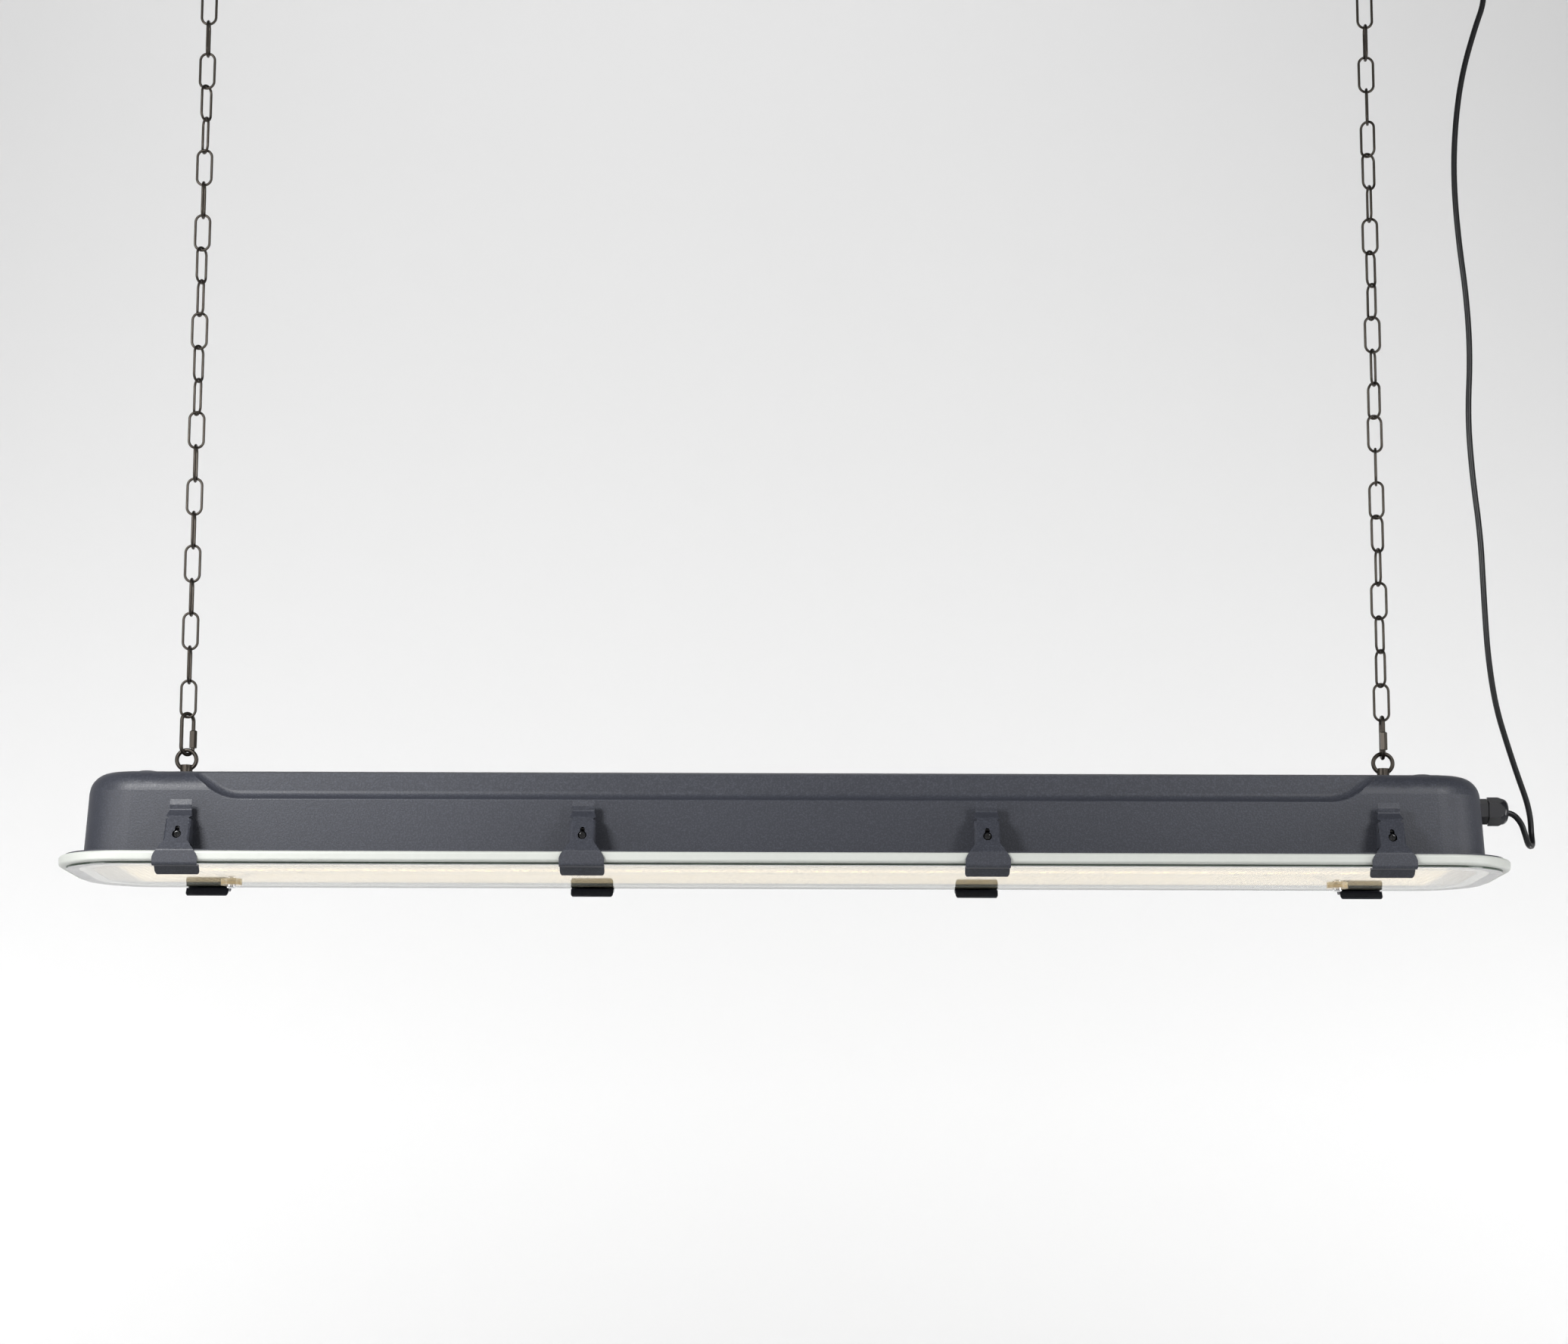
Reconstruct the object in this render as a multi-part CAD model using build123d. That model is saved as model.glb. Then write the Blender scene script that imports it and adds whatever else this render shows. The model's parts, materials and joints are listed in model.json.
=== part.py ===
from build123d import *
import math
import os

# Suspension: ceiling hooks, chains, quick links and eye bolts
EYE_END_SETBACK = 79.0
HOOK_PLATE_DIAMETER = 42.0
HOOK_PLATE_THICKNESS = 3.0
HOOK_SCREW_SPACING = 28.0
HOOK_SCREW_HOLE = 4.5
HOOK_WIRE = 4.0
HOOK_BEND_RADIUS = 9.0
HOOK_DROP = 11.0
HOOK_TIP_RISE = 3.0
HANGING_GAP = 0.3
CHAIN_LINKS = 23
CHAIN_WIRE = 2.2
LINK_LENGTH = 33.6
LINK_WIDTH = 14.6
LINK_GAP = 0.1
LEFT_SLIPS = ((2.0, 5.0, 90.0), (7.0, 13.2, 180.0))
RIGHT_SLIPS = ((2.5, 21.5, 460.0),)
QUICK_LINK_WIRE = 3.2
QUICK_LINK_LENGTH = 38.0
QUICK_LINK_LEG_SPACING = 13.0
QUICK_LINK_GAP = 5.0
QUICK_LINK_GAP_START = 1.0
QUICK_LINK_TURN = {"left": 50.0, "right": -90.0}
SLEEVE_ACROSS_CORNERS = 6.6
SLEEVE_LENGTH = 15.0
SLEEVE_CLEARANCE = 0.15
SLEEVE_OVERRUN = 0.3
SLEEVE_CHAMFER = 0.8
EYE_WIRE = 3.5
EYE_RING_DIAMETER = 19.8
EYE_HEIGHT = 16.5
EYE_COLLAR_DIAMETER = 10.3
EYE_COLLAR_OVERLAP = 5.4
EYE_SHANK_DIAMETER = 6.0
EYE_SHANK_LENGTH = 14.0
EYE_WASHER_DIAMETER = 18.0
EYE_WASHER_THICKNESS = 1.6
EYE_NUT_ACROSS_FLATS = 10.0
EYE_NUT_HEIGHT = 5.0
BOLT_CLEARANCE = 0.3

# Housing, gasket and glass
GASKET_LENGTH = 1200.0
GASKET_WIDTH = 200.0
GASKET_CORNER = 61.0
GASKET_BREADTH = 17.0
GASKET_HEIGHT = 7.0
GASKET_EDGE = 2.4
GASKET_REBATE_GAP = 0.4
GASKET_LIP_DROP = 1.5
HOUSING_HEIGHT = 71.5
SHEET = 1.5
WALL_END_INSET = 17.0
WALL_SIDE_INSET = 34.0
WALL_CORNER = 42.0
END_DRAFT = 4.6
TOP_EDGE_RADIUS = 18.0
FLANGE_INSET = 5.0
SHOULDER_HEIGHT = 45.8
SHOULDER_RADIUS = 1.8
SHOULDER_COVE = 7.0
SHOULDER_SETBACK = 9.0
SHOULDER_END_SETBACK = 121.0
SHOULDER_RAMP_ANGLE = 35.0
SHOULDER_RAMP_BEND = 40.0
SHOULDER_BAND = 12.0
GLASS_INSET = 6.5
GLASS_THICKNESS = 3.0
GLASS_SCREW_END_SETBACK = 122.5
GLASS_SCREW_SIDE_SETBACK = 43.5
GLASS_SCREW_DIAMETER = 4.0
GLASS_HOLE = 6.0
GLASS_HEAD_DIAMETER = 8.0
GLASS_HEAD_HEIGHT = 2.6
GLASS_WASHER_DIAMETER = 18.0
GLASS_WASHER_THICKNESS = 2.6
GLASS_PILLAR_DIAMETER = 9.0
PLUG_END_SETBACK = 47.0
PLUG_DIAMETER = 18.5
PLUG_HEIGHT = 6.4
PLUG_EDGE = 2.0
PLUG_THREAD = 12.0
PLUG_THREAD_LENGTH = 8.0
PLUG_NUT_DIAMETER = 18.0
PLUG_NUT_HEIGHT = 3.5

# Spring clips, drawn with u outwards from the middle of the lamp and v up from the glass underside
CLIP_END_SETBACK = 105.0
CLIP_REAR_SPREAD = 1.5
CLIPS_PER_SIDE = 4
CLIP_SHEET = 1.2
CLIP_BEND = 1.6
CLIP_SKIRT_GAP = 1.3
CLIP_SKIRT_RISE = 10.0
CLIP_BODY_TOP = 40.0
CLIP_LEAN_IN = 18.0
CLIP_STEP_RISE = 5.5
CLIP_STEP_IN = 8.0
CLIP_TAB_RISE = 4.6
CLIP_TAB_OUT = 0.9
CLIP_TIP_RISE = 4.5
CLIP_TIP_IN = 1.2
CLIP_HEEL_DROP = 2.4
CLIP_SEAT_GAP = 0.6
CLIP_SEAT_INSET = 3.0
CLIP_LIP_LENGTH = 6.5
CLIP_LIP_DROP = 6.5
CLIP_TAB_WIDTH = 18.0
CLIP_BODY_WIDTH = 21.0
CLIP_SKIRT_WIDTH = 36.8
CLIP_LIP_WIDTH = 36.4
CLIP_LIP_CORNER = 4.0
CLIP_TAB_CORNER = 2.2
CLIP_SIDE_RADIUS = 2.2
CLIP_FLANGE_BOTTOM = 18.2
CLIP_FLANGE_REACH = 16.5
CLIP_KEYHOLE_V = 24.0
CLIP_KEYHOLE_DIAMETER = 7.2
CLIP_SLOT_WIDTH = 3.8
CLIP_SLOT_RISE = 7.2
PIN_DIAMETER = 3.0
PIN_FIT = 0.05
PIN_V = 30.0
PIN_SETBACK = 3.3
BRACKET_SHEET = 1.5
BRACKET_SIDE_GAP = 0.5
BRACKET_BOTTOM = 17.5
BRACKET_TOP = 38.5
BRACKET_SETBACK = 1.1
BRACKET_KNEE = 31.5
BRACKET_TOP_SETBACK = 9.0
SPRING_THICKNESS = 0.5
SPRING_WIDTH = 8.0
SPRING_TIP_GAP = 0.4
CLIP_SCREW_DIAMETER = 4.0
CLIP_PILLAR_DIAMETER = 5.0
CLIP_HEAD_DIAMETER = 6.6
CLIP_HEAD_HEIGHT = 2.4
CLIP_HEAD_SETBACK = 0.8
CLIP_CROSS_WIDTH = 1.1
CLIP_CROSS_LENGTH = 4.0
CLIP_CROSS_DEPTH = 1.2
CLIP_NUT_ACROSS_FLATS = 7.0
CLIP_NUT_HEIGHT = 3.2

# Cable gland and supply cable
GLAND_HEIGHT = 47.3
GLAND_BOSS_DIAMETER = 27.0
GLAND_BOSS_REACH = 1.0
GLAND_BOSS_DEPTH = 7.0
GLAND_THREAD_DIAMETER = 16.0
GLAND_THREAD_LENGTH = 14.0
GLAND_HEX_CORNERS = 21.9
GLAND_HEX_LENGTH = 8.4
GLAND_SPIGOT_DIAMETER = 14.4
GLAND_SPIGOT_LENGTH = 8.0
GLAND_NUT_CORNERS = 24.4
GLAND_NUT_HEX_LENGTH = 10.4
GLAND_NUT_LENGTH = 17.0
GLAND_NUT_GAP = 0.4
GLAND_NUT_CLEARANCE = 0.3
GLAND_NUT_FACE_DIAMETER = 12.0
GLAND_SEAL_DIAMETER = 10.5
GLAND_LOCKNUT_CORNERS = 24.0
GLAND_LOCKNUT_HEIGHT = 4.5
CABLE_DIAMETER = 5.0
CABLE_MOUTH_CLEARANCE = 0.3
CABLE_START_DEPTH = 9.0
CABLE_TAIL_INSIDE = 12.0

# Free cable from the gland to the ceiling rose: x from the gland mouth, y, height above the glass underside
CABLE_ROUTE = (
    (3.0, 0.0, 57.3),
    (11.5, 1.0, 48.8),
    (15.6, 4.5, 38.2),
    (19.6, 12.0, 29.6),
    (25.4, 22.5, 30.8),
    (25.6, 28.3, 41.5),
    (25.4, 28.6, 55.0),
    (22.6, 28.0, 70.0),
    (15.6, 26.0, 89.5),
    (7.2, 23.0, 115.0),
    (-3.4, 19.0, 150.0),
    (-9.4, 16.0, 194.0),
    (-11.4, 15.0, 245.0),
    (-12.7, 15.0, 297.0),
    (-18.2, 15.0, 349.0),
    (-20.8, 15.0, 402.0),
    (-17.0, 15.0, 455.0),
    (-18.8, 15.0, 508.0),
    (-24.4, 15.0, 559.0),
    (-27.2, 15.0, 612.0),
    (-24.8, 15.0, 660.0),
    (-17.6, 15.0, 708.0),
    (-4.4, 15.0, 752.0),
)
CABLE_GRIP_RUN = 8.0

# Ceiling rose
ROSE_REACH = 4.4
ROSE_Y = 15.0
ROSE_DIAMETER = 84.0
ROSE_DEPTH = 28.0
ROSE_WALL = 1.8
ROSE_EDGE = 9.0
ROSE_GRIP_DIAMETER = 15.0
ROSE_GRIP_LENGTH = 14.0
ROSE_GRIP_TAPER = 2.5
ROSE_GRIP_THREAD = 10.0
ROSE_GRIP_THREAD_LENGTH = 10.0
ROSE_GRIP_NUT_CORNERS = 17.0
ROSE_GRIP_NUT_HEIGHT = 4.0
ROSE_STRAP_WIDTH = 16.0
ROSE_STRAP_SHEET = 1.5
ROSE_STRAP_EAR = 10.0
ROSE_STRAP_GAP = 0.3
ROSE_SCREW_SPACING = 52.0
ROSE_SCREW_HOLE = 4.5
ROSE_ENTRY_HOLE = 12.0
ROSE_SIDE_SCREW = 3.0
ROSE_SIDE_HEAD_DIAMETER = 5.6
ROSE_SIDE_HEAD_HEIGHT = 1.8
ROSE_SIDE_SCREW_DEPTH = 5.0

# Inside: gear tray, light source and wiring
TRAY_END_GAP = 35.0
TRAY_SIDE_GAP = 9.0
TRAY_CORNER = 3.0
TRAY_SKIRT = 37.0
TRAY_SHEET = 1.2
TRAY_HEIGHT = 44.0
TRAY_PILLAR_DIAMETER = 9.0
TRAY_PILLAR_END_SETBACK = 148.0
TRAY_PILLAR_SIDE_SETBACK = 22.0
TRAY_SCREW_DIAMETER = 4.0
TRAY_SCREW_LENGTH = 8.0
TRAY_HEAD_DIAMETER = 7.6
TRAY_HEAD_HEIGHT = 2.4
LED_BOARD_END_GAP = 28.0
LED_BOARD_MIDDLE_GAP = 16.0
LED_BOARD_PILLAR_GAP = 7.0
LED_BOARD_THICKNESS = 1.6
LED_CHIP = 5.0
LED_CHIP_HEIGHT = 1.4
LED_CHIP_PITCH = 32.0
DRIVER_END_SETBACK = 133.0
DRIVER_LENGTH = 170.0
DRIVER_WIDTH = 34.0
DRIVER_HEIGHT = 22.0
DRIVER_FOOT_LENGTH = 10.0
DRIVER_FOOT_HEIGHT = 2.0
DRIVER_EDGE = 2.0
DRIVER_SCREW_DIAMETER = 3.0
DRIVER_SCREW_LENGTH = 5.0
TERMINAL_END_SETBACK = 92.0
TERMINAL_LENGTH = 18.0
TERMINAL_WIDTH = 30.0
TERMINAL_HEIGHT = 15.0
TERMINAL_POLES = 3
TERMINAL_PITCH = 9.0
TERMINAL_SCREW_DIAMETER = 3.4
TERMINAL_SCREW_DEPTH = 6.0
EARTH_END_SETBACK = 28.0
EARTH_SIDE_SETBACK = 27.0
EARTH_STUD_DIAMETER = 4.0
EARTH_STUD_LENGTH = 12.0
EARTH_NUT_ACROSS_FLATS = 7.0
EARTH_NUT_HEIGHT = 3.2
LEAD_DIAMETER = 2.0
LEAD_SPREAD = 2.4
LEAD_HEIGHT = 7.0
LEAD_BEND = 6.0

# Lengths and widths worked out from the rim
wall_length = GASKET_LENGTH - 2 * WALL_END_INSET
wall_width = GASKET_WIDTH - 2 * WALL_SIDE_INSET
wall_half = wall_width / 2
eye_spacing = wall_length - 2 * EYE_END_SETBACK
plug_spacing = wall_length - 2 * PLUG_END_SETBACK
flange_length = GASKET_LENGTH - 2 * FLANGE_INSET
flange_width = GASKET_WIDTH - 2 * FLANGE_INSET
glass_length = GASKET_LENGTH - 2 * GLASS_INSET
glass_width = GASKET_WIDTH - 2 * GLASS_INSET
glass_screw_x = glass_length / 2 - GLASS_SCREW_END_SETBACK
glass_screw_y = glass_width / 2 - GLASS_SCREW_SIDE_SETBACK
clip_spacing = (GASKET_LENGTH - 2 * CLIP_END_SETBACK) / (CLIPS_PER_SIDE - 1)
tray_length = wall_length - 2 * TRAY_END_GAP
tray_width = wall_width - 2 * TRAY_SIDE_GAP
tray_pillar_x = tray_length / 2 - TRAY_PILLAR_END_SETBACK
tray_pillar_y = tray_width / 2 - TRAY_PILLAR_SIDE_SETBACK
led_board_length = tray_length - 2 * LED_BOARD_END_GAP
led_board_width = tray_pillar_y - LED_BOARD_PILLAR_GAP - LED_BOARD_MIDDLE_GAP / 2
led_board_y = (LED_BOARD_MIDDLE_GAP + led_board_width) / 2
driver_x = tray_length / 2 - DRIVER_END_SETBACK - DRIVER_LENGTH / 2
terminal_x = tray_length / 2 - TERMINAL_END_SETBACK
earth_x = tray_length / 2 - EARTH_END_SETBACK
earth_y = tray_width / 2 - EARTH_SIDE_SETBACK

# Heights worked out downwards from the ceiling plane
hook_seat_z = -(HOOK_PLATE_THICKNESS + HOOK_DROP + HOOK_BEND_RADIUS)
link_span = LINK_LENGTH - CHAIN_WIRE
link_pitch = link_span - CHAIN_WIRE - LINK_GAP
first_link_top_z = hook_seat_z + (HOOK_WIRE + CHAIN_WIRE) / 2 + HANGING_GAP
last_link_bottom_z = first_link_top_z - (CHAIN_LINKS - 1) * link_pitch - link_span
quick_link_top_z = last_link_bottom_z + (CHAIN_WIRE + QUICK_LINK_WIRE) / 2 + HANGING_GAP
quick_link_span = QUICK_LINK_LENGTH - QUICK_LINK_WIRE
quick_link_bottom_z = quick_link_top_z - quick_link_span
ring_radius = (EYE_RING_DIAMETER - EYE_WIRE) / 2
ring_top_z = quick_link_bottom_z + (QUICK_LINK_WIRE + EYE_WIRE) / 2 + HANGING_GAP
ring_centre_z = ring_top_z - ring_radius
housing_top_z = ring_centre_z - EYE_HEIGHT
flange_bottom_z = housing_top_z - HOUSING_HEIGHT
flange_top_z = flange_bottom_z + SHEET
glass_top_z = flange_bottom_z - GASKET_HEIGHT
glass_bottom_z = glass_top_z - GLASS_THICKNESS
inner_top_z = housing_top_z - SHEET
gland_z = flange_bottom_z + GLAND_HEIGHT
tray_bottom_z = glass_bottom_z + TRAY_HEIGHT
tray_top_z = tray_bottom_z + TRAY_SHEET
SIDES = {"left": -1, "right": 1}


def upright(diameter, length, x, y, bottom_z):
    """Round bar standing on bottom_z."""
    return Pos(x, y, bottom_z + length / 2) * Cylinder(diameter / 2, length)


def along_x(diameter, length, start_x, y, z):
    """Round bar running towards +X from start_x."""
    return Pos(start_x + length / 2, y, z) * Rot(0, 90, 0) * Cylinder(diameter / 2, length)


def hex_upright(across_flats, length, x, y, bottom_z):
    """Hexagonal prism standing on bottom_z."""
    corner_radius = across_flats / math.sqrt(3)
    return Pos(x, y, bottom_z) * extrude(RegularPolygon(corner_radius, 6), length)


def hex_along_x(corners, length, start_x, y, z):
    """Hexagonal prism along X with a corner at its top."""
    plane = Plane(origin=(start_x, y, z), x_dir=(0, 0, 1), z_dir=(1, 0, 0))
    return extrude(plane * RegularPolygon(corners / 2, 6), length)


def slab(length, width, corner, height, bottom_z):
    """Rounded rectangular plate standing on bottom_z."""
    return Pos(0, 0, bottom_z) * extrude(RectangleRounded(length, width, corner), height)


def swept_bar(path, diameter):
    """Round bar along a path."""
    start = Plane(origin=path @ 0, z_dir=path % 0)
    return sweep(start * Circle(diameter / 2), path=path)


def oval_path(span, radius):
    """Closed oval in the XZ plane, centred, with round ends."""
    straight = span / 2 - radius
    right = Line((radius, 0, -straight), (radius, 0, straight))
    top = ThreePointArc((radius, 0, straight), (0, 0, span / 2), (-radius, 0, straight))
    left = Line((-radius, 0, straight), (-radius, 0, -straight))
    bottom = ThreePointArc((-radius, 0, -straight), (0, 0, -span / 2), (radius, 0, -straight))
    return Wire([right, top, left, bottom])


def strip_face(points, thickness, bend):
    """Face of a bent strip whose middle line runs through the points."""
    count = len(points)
    steps = []
    for (u0, v0), (u1, v1) in zip(points, points[1:]):
        length = math.hypot(u1 - u0, v1 - v0)
        steps.append(((u1 - u0) / length, (v1 - v0) / length))
    sides = {1: [], -1: []}
    radii = {1: [], -1: []}
    for index, (u, v) in enumerate(points):
        before = steps[max(index - 1, 0)]
        after = steps[min(index, count - 2)]
        mid_u, mid_v = -(before[1] + after[1]), before[0] + after[0]
        scale = math.hypot(mid_u, mid_v)
        mid_u, mid_v = mid_u / scale, mid_v / scale
        reach = thickness / 2 / (mid_u * -after[1] + mid_v * after[0])
        turn = before[0] * after[1] - before[1] * after[0]
        for side in (1, -1):
            sides[side].append((u + side * reach * mid_u, v + side * reach * mid_v))
            if 0 < index < count - 1:
                radii[side].append(bend if turn * side > 0 else bend + thickness)
    near = FilletPolyline(*sides[1], radius=radii[1])
    far = FilletPolyline(*sides[-1], radius=radii[-1])
    ends = [Line(sides[1][0], sides[-1][0]), Line(sides[1][-1], sides[-1][-1])]
    return make_face(Wire(near.edges() + far.edges() + ends))


def ceiling_hook(side):
    """Round ceiling plate with two screw holes and an open hook below it."""
    x = side * eye_spacing / 2
    plate = upright(HOOK_PLATE_DIAMETER, HOOK_PLATE_THICKNESS, x, 0, -HOOK_PLATE_THICKNESS)
    for y in (-HOOK_SCREW_SPACING / 2, HOOK_SCREW_SPACING / 2):
        plate -= upright(HOOK_SCREW_HOLE, 2 * HOOK_PLATE_THICKNESS, x, y, -1.5 * HOOK_PLATE_THICKNESS)
    bend_z = hook_seat_z + HOOK_BEND_RADIUS
    shank_x = x + side * HOOK_BEND_RADIUS
    tip_x = x - side * HOOK_BEND_RADIUS
    shank = Line((shank_x, 0, -HOOK_PLATE_THICKNESS / 2), (shank_x, 0, bend_z))
    bend = ThreePointArc((shank_x, 0, bend_z), (x, 0, hook_seat_z), (tip_x, 0, bend_z))
    tip = Line((tip_x, 0, bend_z), (tip_x, 0, bend_z + HOOK_TIP_RISE))
    hook = swept_bar(Wire([shank, bend, tip]), HOOK_WIRE)
    return plate + hook


def link_turn(index, slips):
    """Turn of a chain link about the chain: a quarter turn each, less the slack twists."""
    turn = 90.0 * index
    for first, last, total in slips:
        share = min(max((index - first) / (last - first), 0.0), 1.0)
        turn -= share * total
    return turn


def chain(side, slips):
    """Welded oval links, each hanging in the one above."""
    x = side * eye_spacing / 2
    link = swept_bar(oval_path(link_span, (LINK_WIDTH - CHAIN_WIRE) / 2), CHAIN_WIRE)
    links = []
    for index in range(CHAIN_LINKS):
        centre_z = first_link_top_z - index * link_pitch - link_span / 2
        turn = link_turn(index - 1, slips)
        links.append(Pos(x, 0, centre_z) * Rot(0, 0, turn) * link)
    return Compound(children=links)


def quick_link(name):
    """Oval link with an opening in one leg, and the screw sleeve that closes it."""
    radius = QUICK_LINK_LEG_SPACING / 2
    straight = quick_link_span / 2 - radius
    gap_low = -straight + QUICK_LINK_GAP_START
    gap_high = gap_low + QUICK_LINK_GAP
    upper = Line((radius, 0, gap_high), (radius, 0, straight))
    top = ThreePointArc((radius, 0, straight), (0, 0, quick_link_span / 2), (-radius, 0, straight))
    plain = Line((-radius, 0, straight), (-radius, 0, -straight))
    bottom = ThreePointArc((-radius, 0, -straight), (0, 0, -quick_link_span / 2), (radius, 0, -straight))
    lower = Line((radius, 0, -straight), (radius, 0, gap_low))
    link = swept_bar(Wire([upper, top, plain, bottom, lower]), QUICK_LINK_WIRE)
    sleeve = extrude(RegularPolygon(SLEEVE_ACROSS_CORNERS / 2, 6), SLEEVE_LENGTH)
    sleeve = chamfer(sleeve.faces().sort_by(Axis.Z)[-1].edges(), SLEEVE_CHAMFER)
    sleeve -= Pos(0, 0, SLEEVE_LENGTH / 2) * Cylinder(
        QUICK_LINK_WIRE / 2 + SLEEVE_CLEARANCE, 2 * SLEEVE_LENGTH)
    sleeve = Pos(radius, 0, -straight - SLEEVE_OVERRUN) * sleeve
    centre_z = (quick_link_top_z + quick_link_bottom_z) / 2
    place = Pos(SIDES[name] * eye_spacing / 2, 0, centre_z) * Rot(0, 0, QUICK_LINK_TURN[name])
    return place * link, place * sleeve


def eye_bolt(side):
    """Ring on a round collar, with a threaded shank through the housing top."""
    x = side * eye_spacing / 2
    ring = Pos(x, 0, ring_centre_z) * Rot(90, 0, 0) * Torus(ring_radius, EYE_WIRE / 2)
    collar_bottom = housing_top_z + EYE_WASHER_THICKNESS
    collar_top = ring_centre_z - EYE_RING_DIAMETER / 2 + EYE_COLLAR_OVERLAP
    collar = upright(EYE_COLLAR_DIAMETER, collar_top - collar_bottom, x, 0, collar_bottom)
    shank = upright(EYE_SHANK_DIAMETER, EYE_SHANK_LENGTH + EYE_WASHER_THICKNESS, x, 0,
                    collar_bottom - EYE_SHANK_LENGTH - EYE_WASHER_THICKNESS)
    return ring + collar + shank


def eye_washers():
    """Flat washer above and below the housing top at each eye bolt."""
    washers = []
    for side in SIDES.values():
        for bottom_z in (housing_top_z, inner_top_z - EYE_WASHER_THICKNESS):
            x = side * eye_spacing / 2
            washer = upright(EYE_WASHER_DIAMETER, EYE_WASHER_THICKNESS, x, 0, bottom_z)
            hole = upright(EYE_SHANK_DIAMETER, 2 * EYE_WASHER_THICKNESS, x, 0,
                           bottom_z - EYE_WASHER_THICKNESS / 2)
            washers.append(washer - hole)
    return Compound(children=washers)


def eye_nuts():
    """Hexagon nut inside the housing on each eye bolt."""
    nuts = []
    bottom_z = inner_top_z - EYE_WASHER_THICKNESS - EYE_NUT_HEIGHT
    for side in SIDES.values():
        x = side * eye_spacing / 2
        nut = hex_upright(EYE_NUT_ACROSS_FLATS, EYE_NUT_HEIGHT, x, 0, bottom_z)
        hole = upright(EYE_SHANK_DIAMETER, 2 * EYE_NUT_HEIGHT, x, 0, bottom_z - EYE_NUT_HEIGHT / 2)
        nuts.append(nut - hole)
    return Compound(children=nuts)


def shoulder_cut(inset):
    """What the set-back upper wall takes off one long side, the side that faces -Y."""
    low = flange_bottom_z + SHOULDER_HEIGHT
    above = HOUSING_HEIGHT
    angle = math.radians(SHOULDER_RAMP_ANGLE)
    level_half = wall_length / 2 - SHOULDER_END_SETBACK
    bend_x = level_half - SHOULDER_RAMP_BEND * math.tan(angle / 2)
    arc_u = wall_half - SHOULDER_RADIUS
    radius = SHOULDER_RADIUS - inset
    setback_u = wall_half - SHOULDER_SETBACK - inset
    outside_u = wall_half + SHOULDER_SETBACK
    corner = radius * math.sqrt(0.5)
    cove_u = wall_half - SHOULDER_SETBACK + SHOULDER_COVE
    cove_rise = SHOULDER_RADIUS + SHOULDER_COVE
    cove = (SHOULDER_COVE + inset) * math.sqrt(0.5)
    section = make_face(Wire([
        Line((outside_u, 0), (arc_u + radius, 0)),
        ThreePointArc((arc_u + radius, 0), (arc_u + corner, corner), (arc_u, radius)),
        Line((arc_u, radius), (cove_u, radius)),
        ThreePointArc((cove_u, radius), (cove_u - cove, cove_rise - cove), (setback_u, cove_rise)),
        Line((setback_u, cove_rise), (setback_u, SHOULDER_BAND)),
        Line((setback_u, SHOULDER_BAND), (outside_u, SHOULDER_BAND)),
        Line((outside_u, SHOULDER_BAND), (outside_u, 0)),
    ]))
    level_end = Plane(origin=(bend_x, 0, low), x_dir=(0, -1, 0), z_dir=(-1, 0, 0)) * section
    bend_axis = Axis((bend_x, 0, low + SHOULDER_RAMP_BEND), (0, -1, 0))
    ramp_start = level_end.rotate(bend_axis, SHOULDER_RAMP_ANGLE)
    ramp_end = revolve(level_end, bend_axis, SHOULDER_RAMP_ANGLE)
    ramp_end += extrude(ramp_start, above / math.sin(angle), dir=(math.cos(angle), 0, math.sin(angle)))
    band = extrude(level_end, 2 * bend_x, dir=(-1, 0, 0)) + ramp_end + mirror(ramp_end, about=Plane.YZ)
    lift = SHOULDER_BAND * 0.9
    upper_half = level_half - lift * math.tan(angle / 2)
    upper_top = upper_half + above / math.tan(angle)
    upper = Polyline(
        (-upper_half, low + lift),
        (upper_half, low + lift),
        (upper_top, low + lift + above),
        (-upper_top, low + lift + above),
        close=True,
    )
    front = Plane(origin=(0, -setback_u, 0), x_dir=(1, 0, 0), z_dir=(0, -1, 0))
    return band + extrude(front * make_face(upper), outside_u - setback_u)


def housing_form(inset):
    """Outer form of the housing above its flange, or the hollow when inset by the sheet."""
    corner = WALL_CORNER - inset
    width = wall_width - 2 * inset
    length = wall_length - 2 * inset
    base = Plane.XY.offset(flange_top_z) * RectangleRounded(length, width, corner)
    roof = Plane.XY.offset(housing_top_z - inset) * RectangleRounded(length - 2 * END_DRAFT, width, corner)
    form = loft([base, roof], ruled=True)
    form = fillet(form.faces().sort_by(Axis.Z)[-1].edges(), TOP_EDGE_RADIUS - inset)
    front = shoulder_cut(inset)
    return form - front - Rot(0, 0, 180) * front


def end_wall_x(z):
    """Outer face of the right end wall at a height."""
    rise = (z - flange_top_z) / (housing_top_z - flange_top_z)
    return wall_length / 2 - END_DRAFT * rise


gland_face_x = end_wall_x(gland_z - GLAND_BOSS_DIAMETER / 2) + GLAND_BOSS_REACH
gland_inner_x = gland_face_x - GLAND_BOSS_DEPTH
gland_nut_start_x = gland_face_x + GLAND_HEX_LENGTH + GLAND_NUT_GAP
gland_mouth_x = gland_nut_start_x + GLAND_NUT_LENGTH
rose_x = gland_mouth_x + ROSE_REACH


def clip_places():
    """Name, place and side of each clip, numbered from the left."""
    places = []
    for side, turn, spread in (("front", 0, 0), ("rear", 180, CLIP_REAR_SPREAD)):
        for index in range(CLIPS_PER_SIDE):
            x = (index - (CLIPS_PER_SIDE - 1) / 2) * (clip_spacing + spread)
            places.append((f"{side}_{index + 1}", Pos(x, 0, 0) * Rot(0, 0, turn)))
    return places


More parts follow.
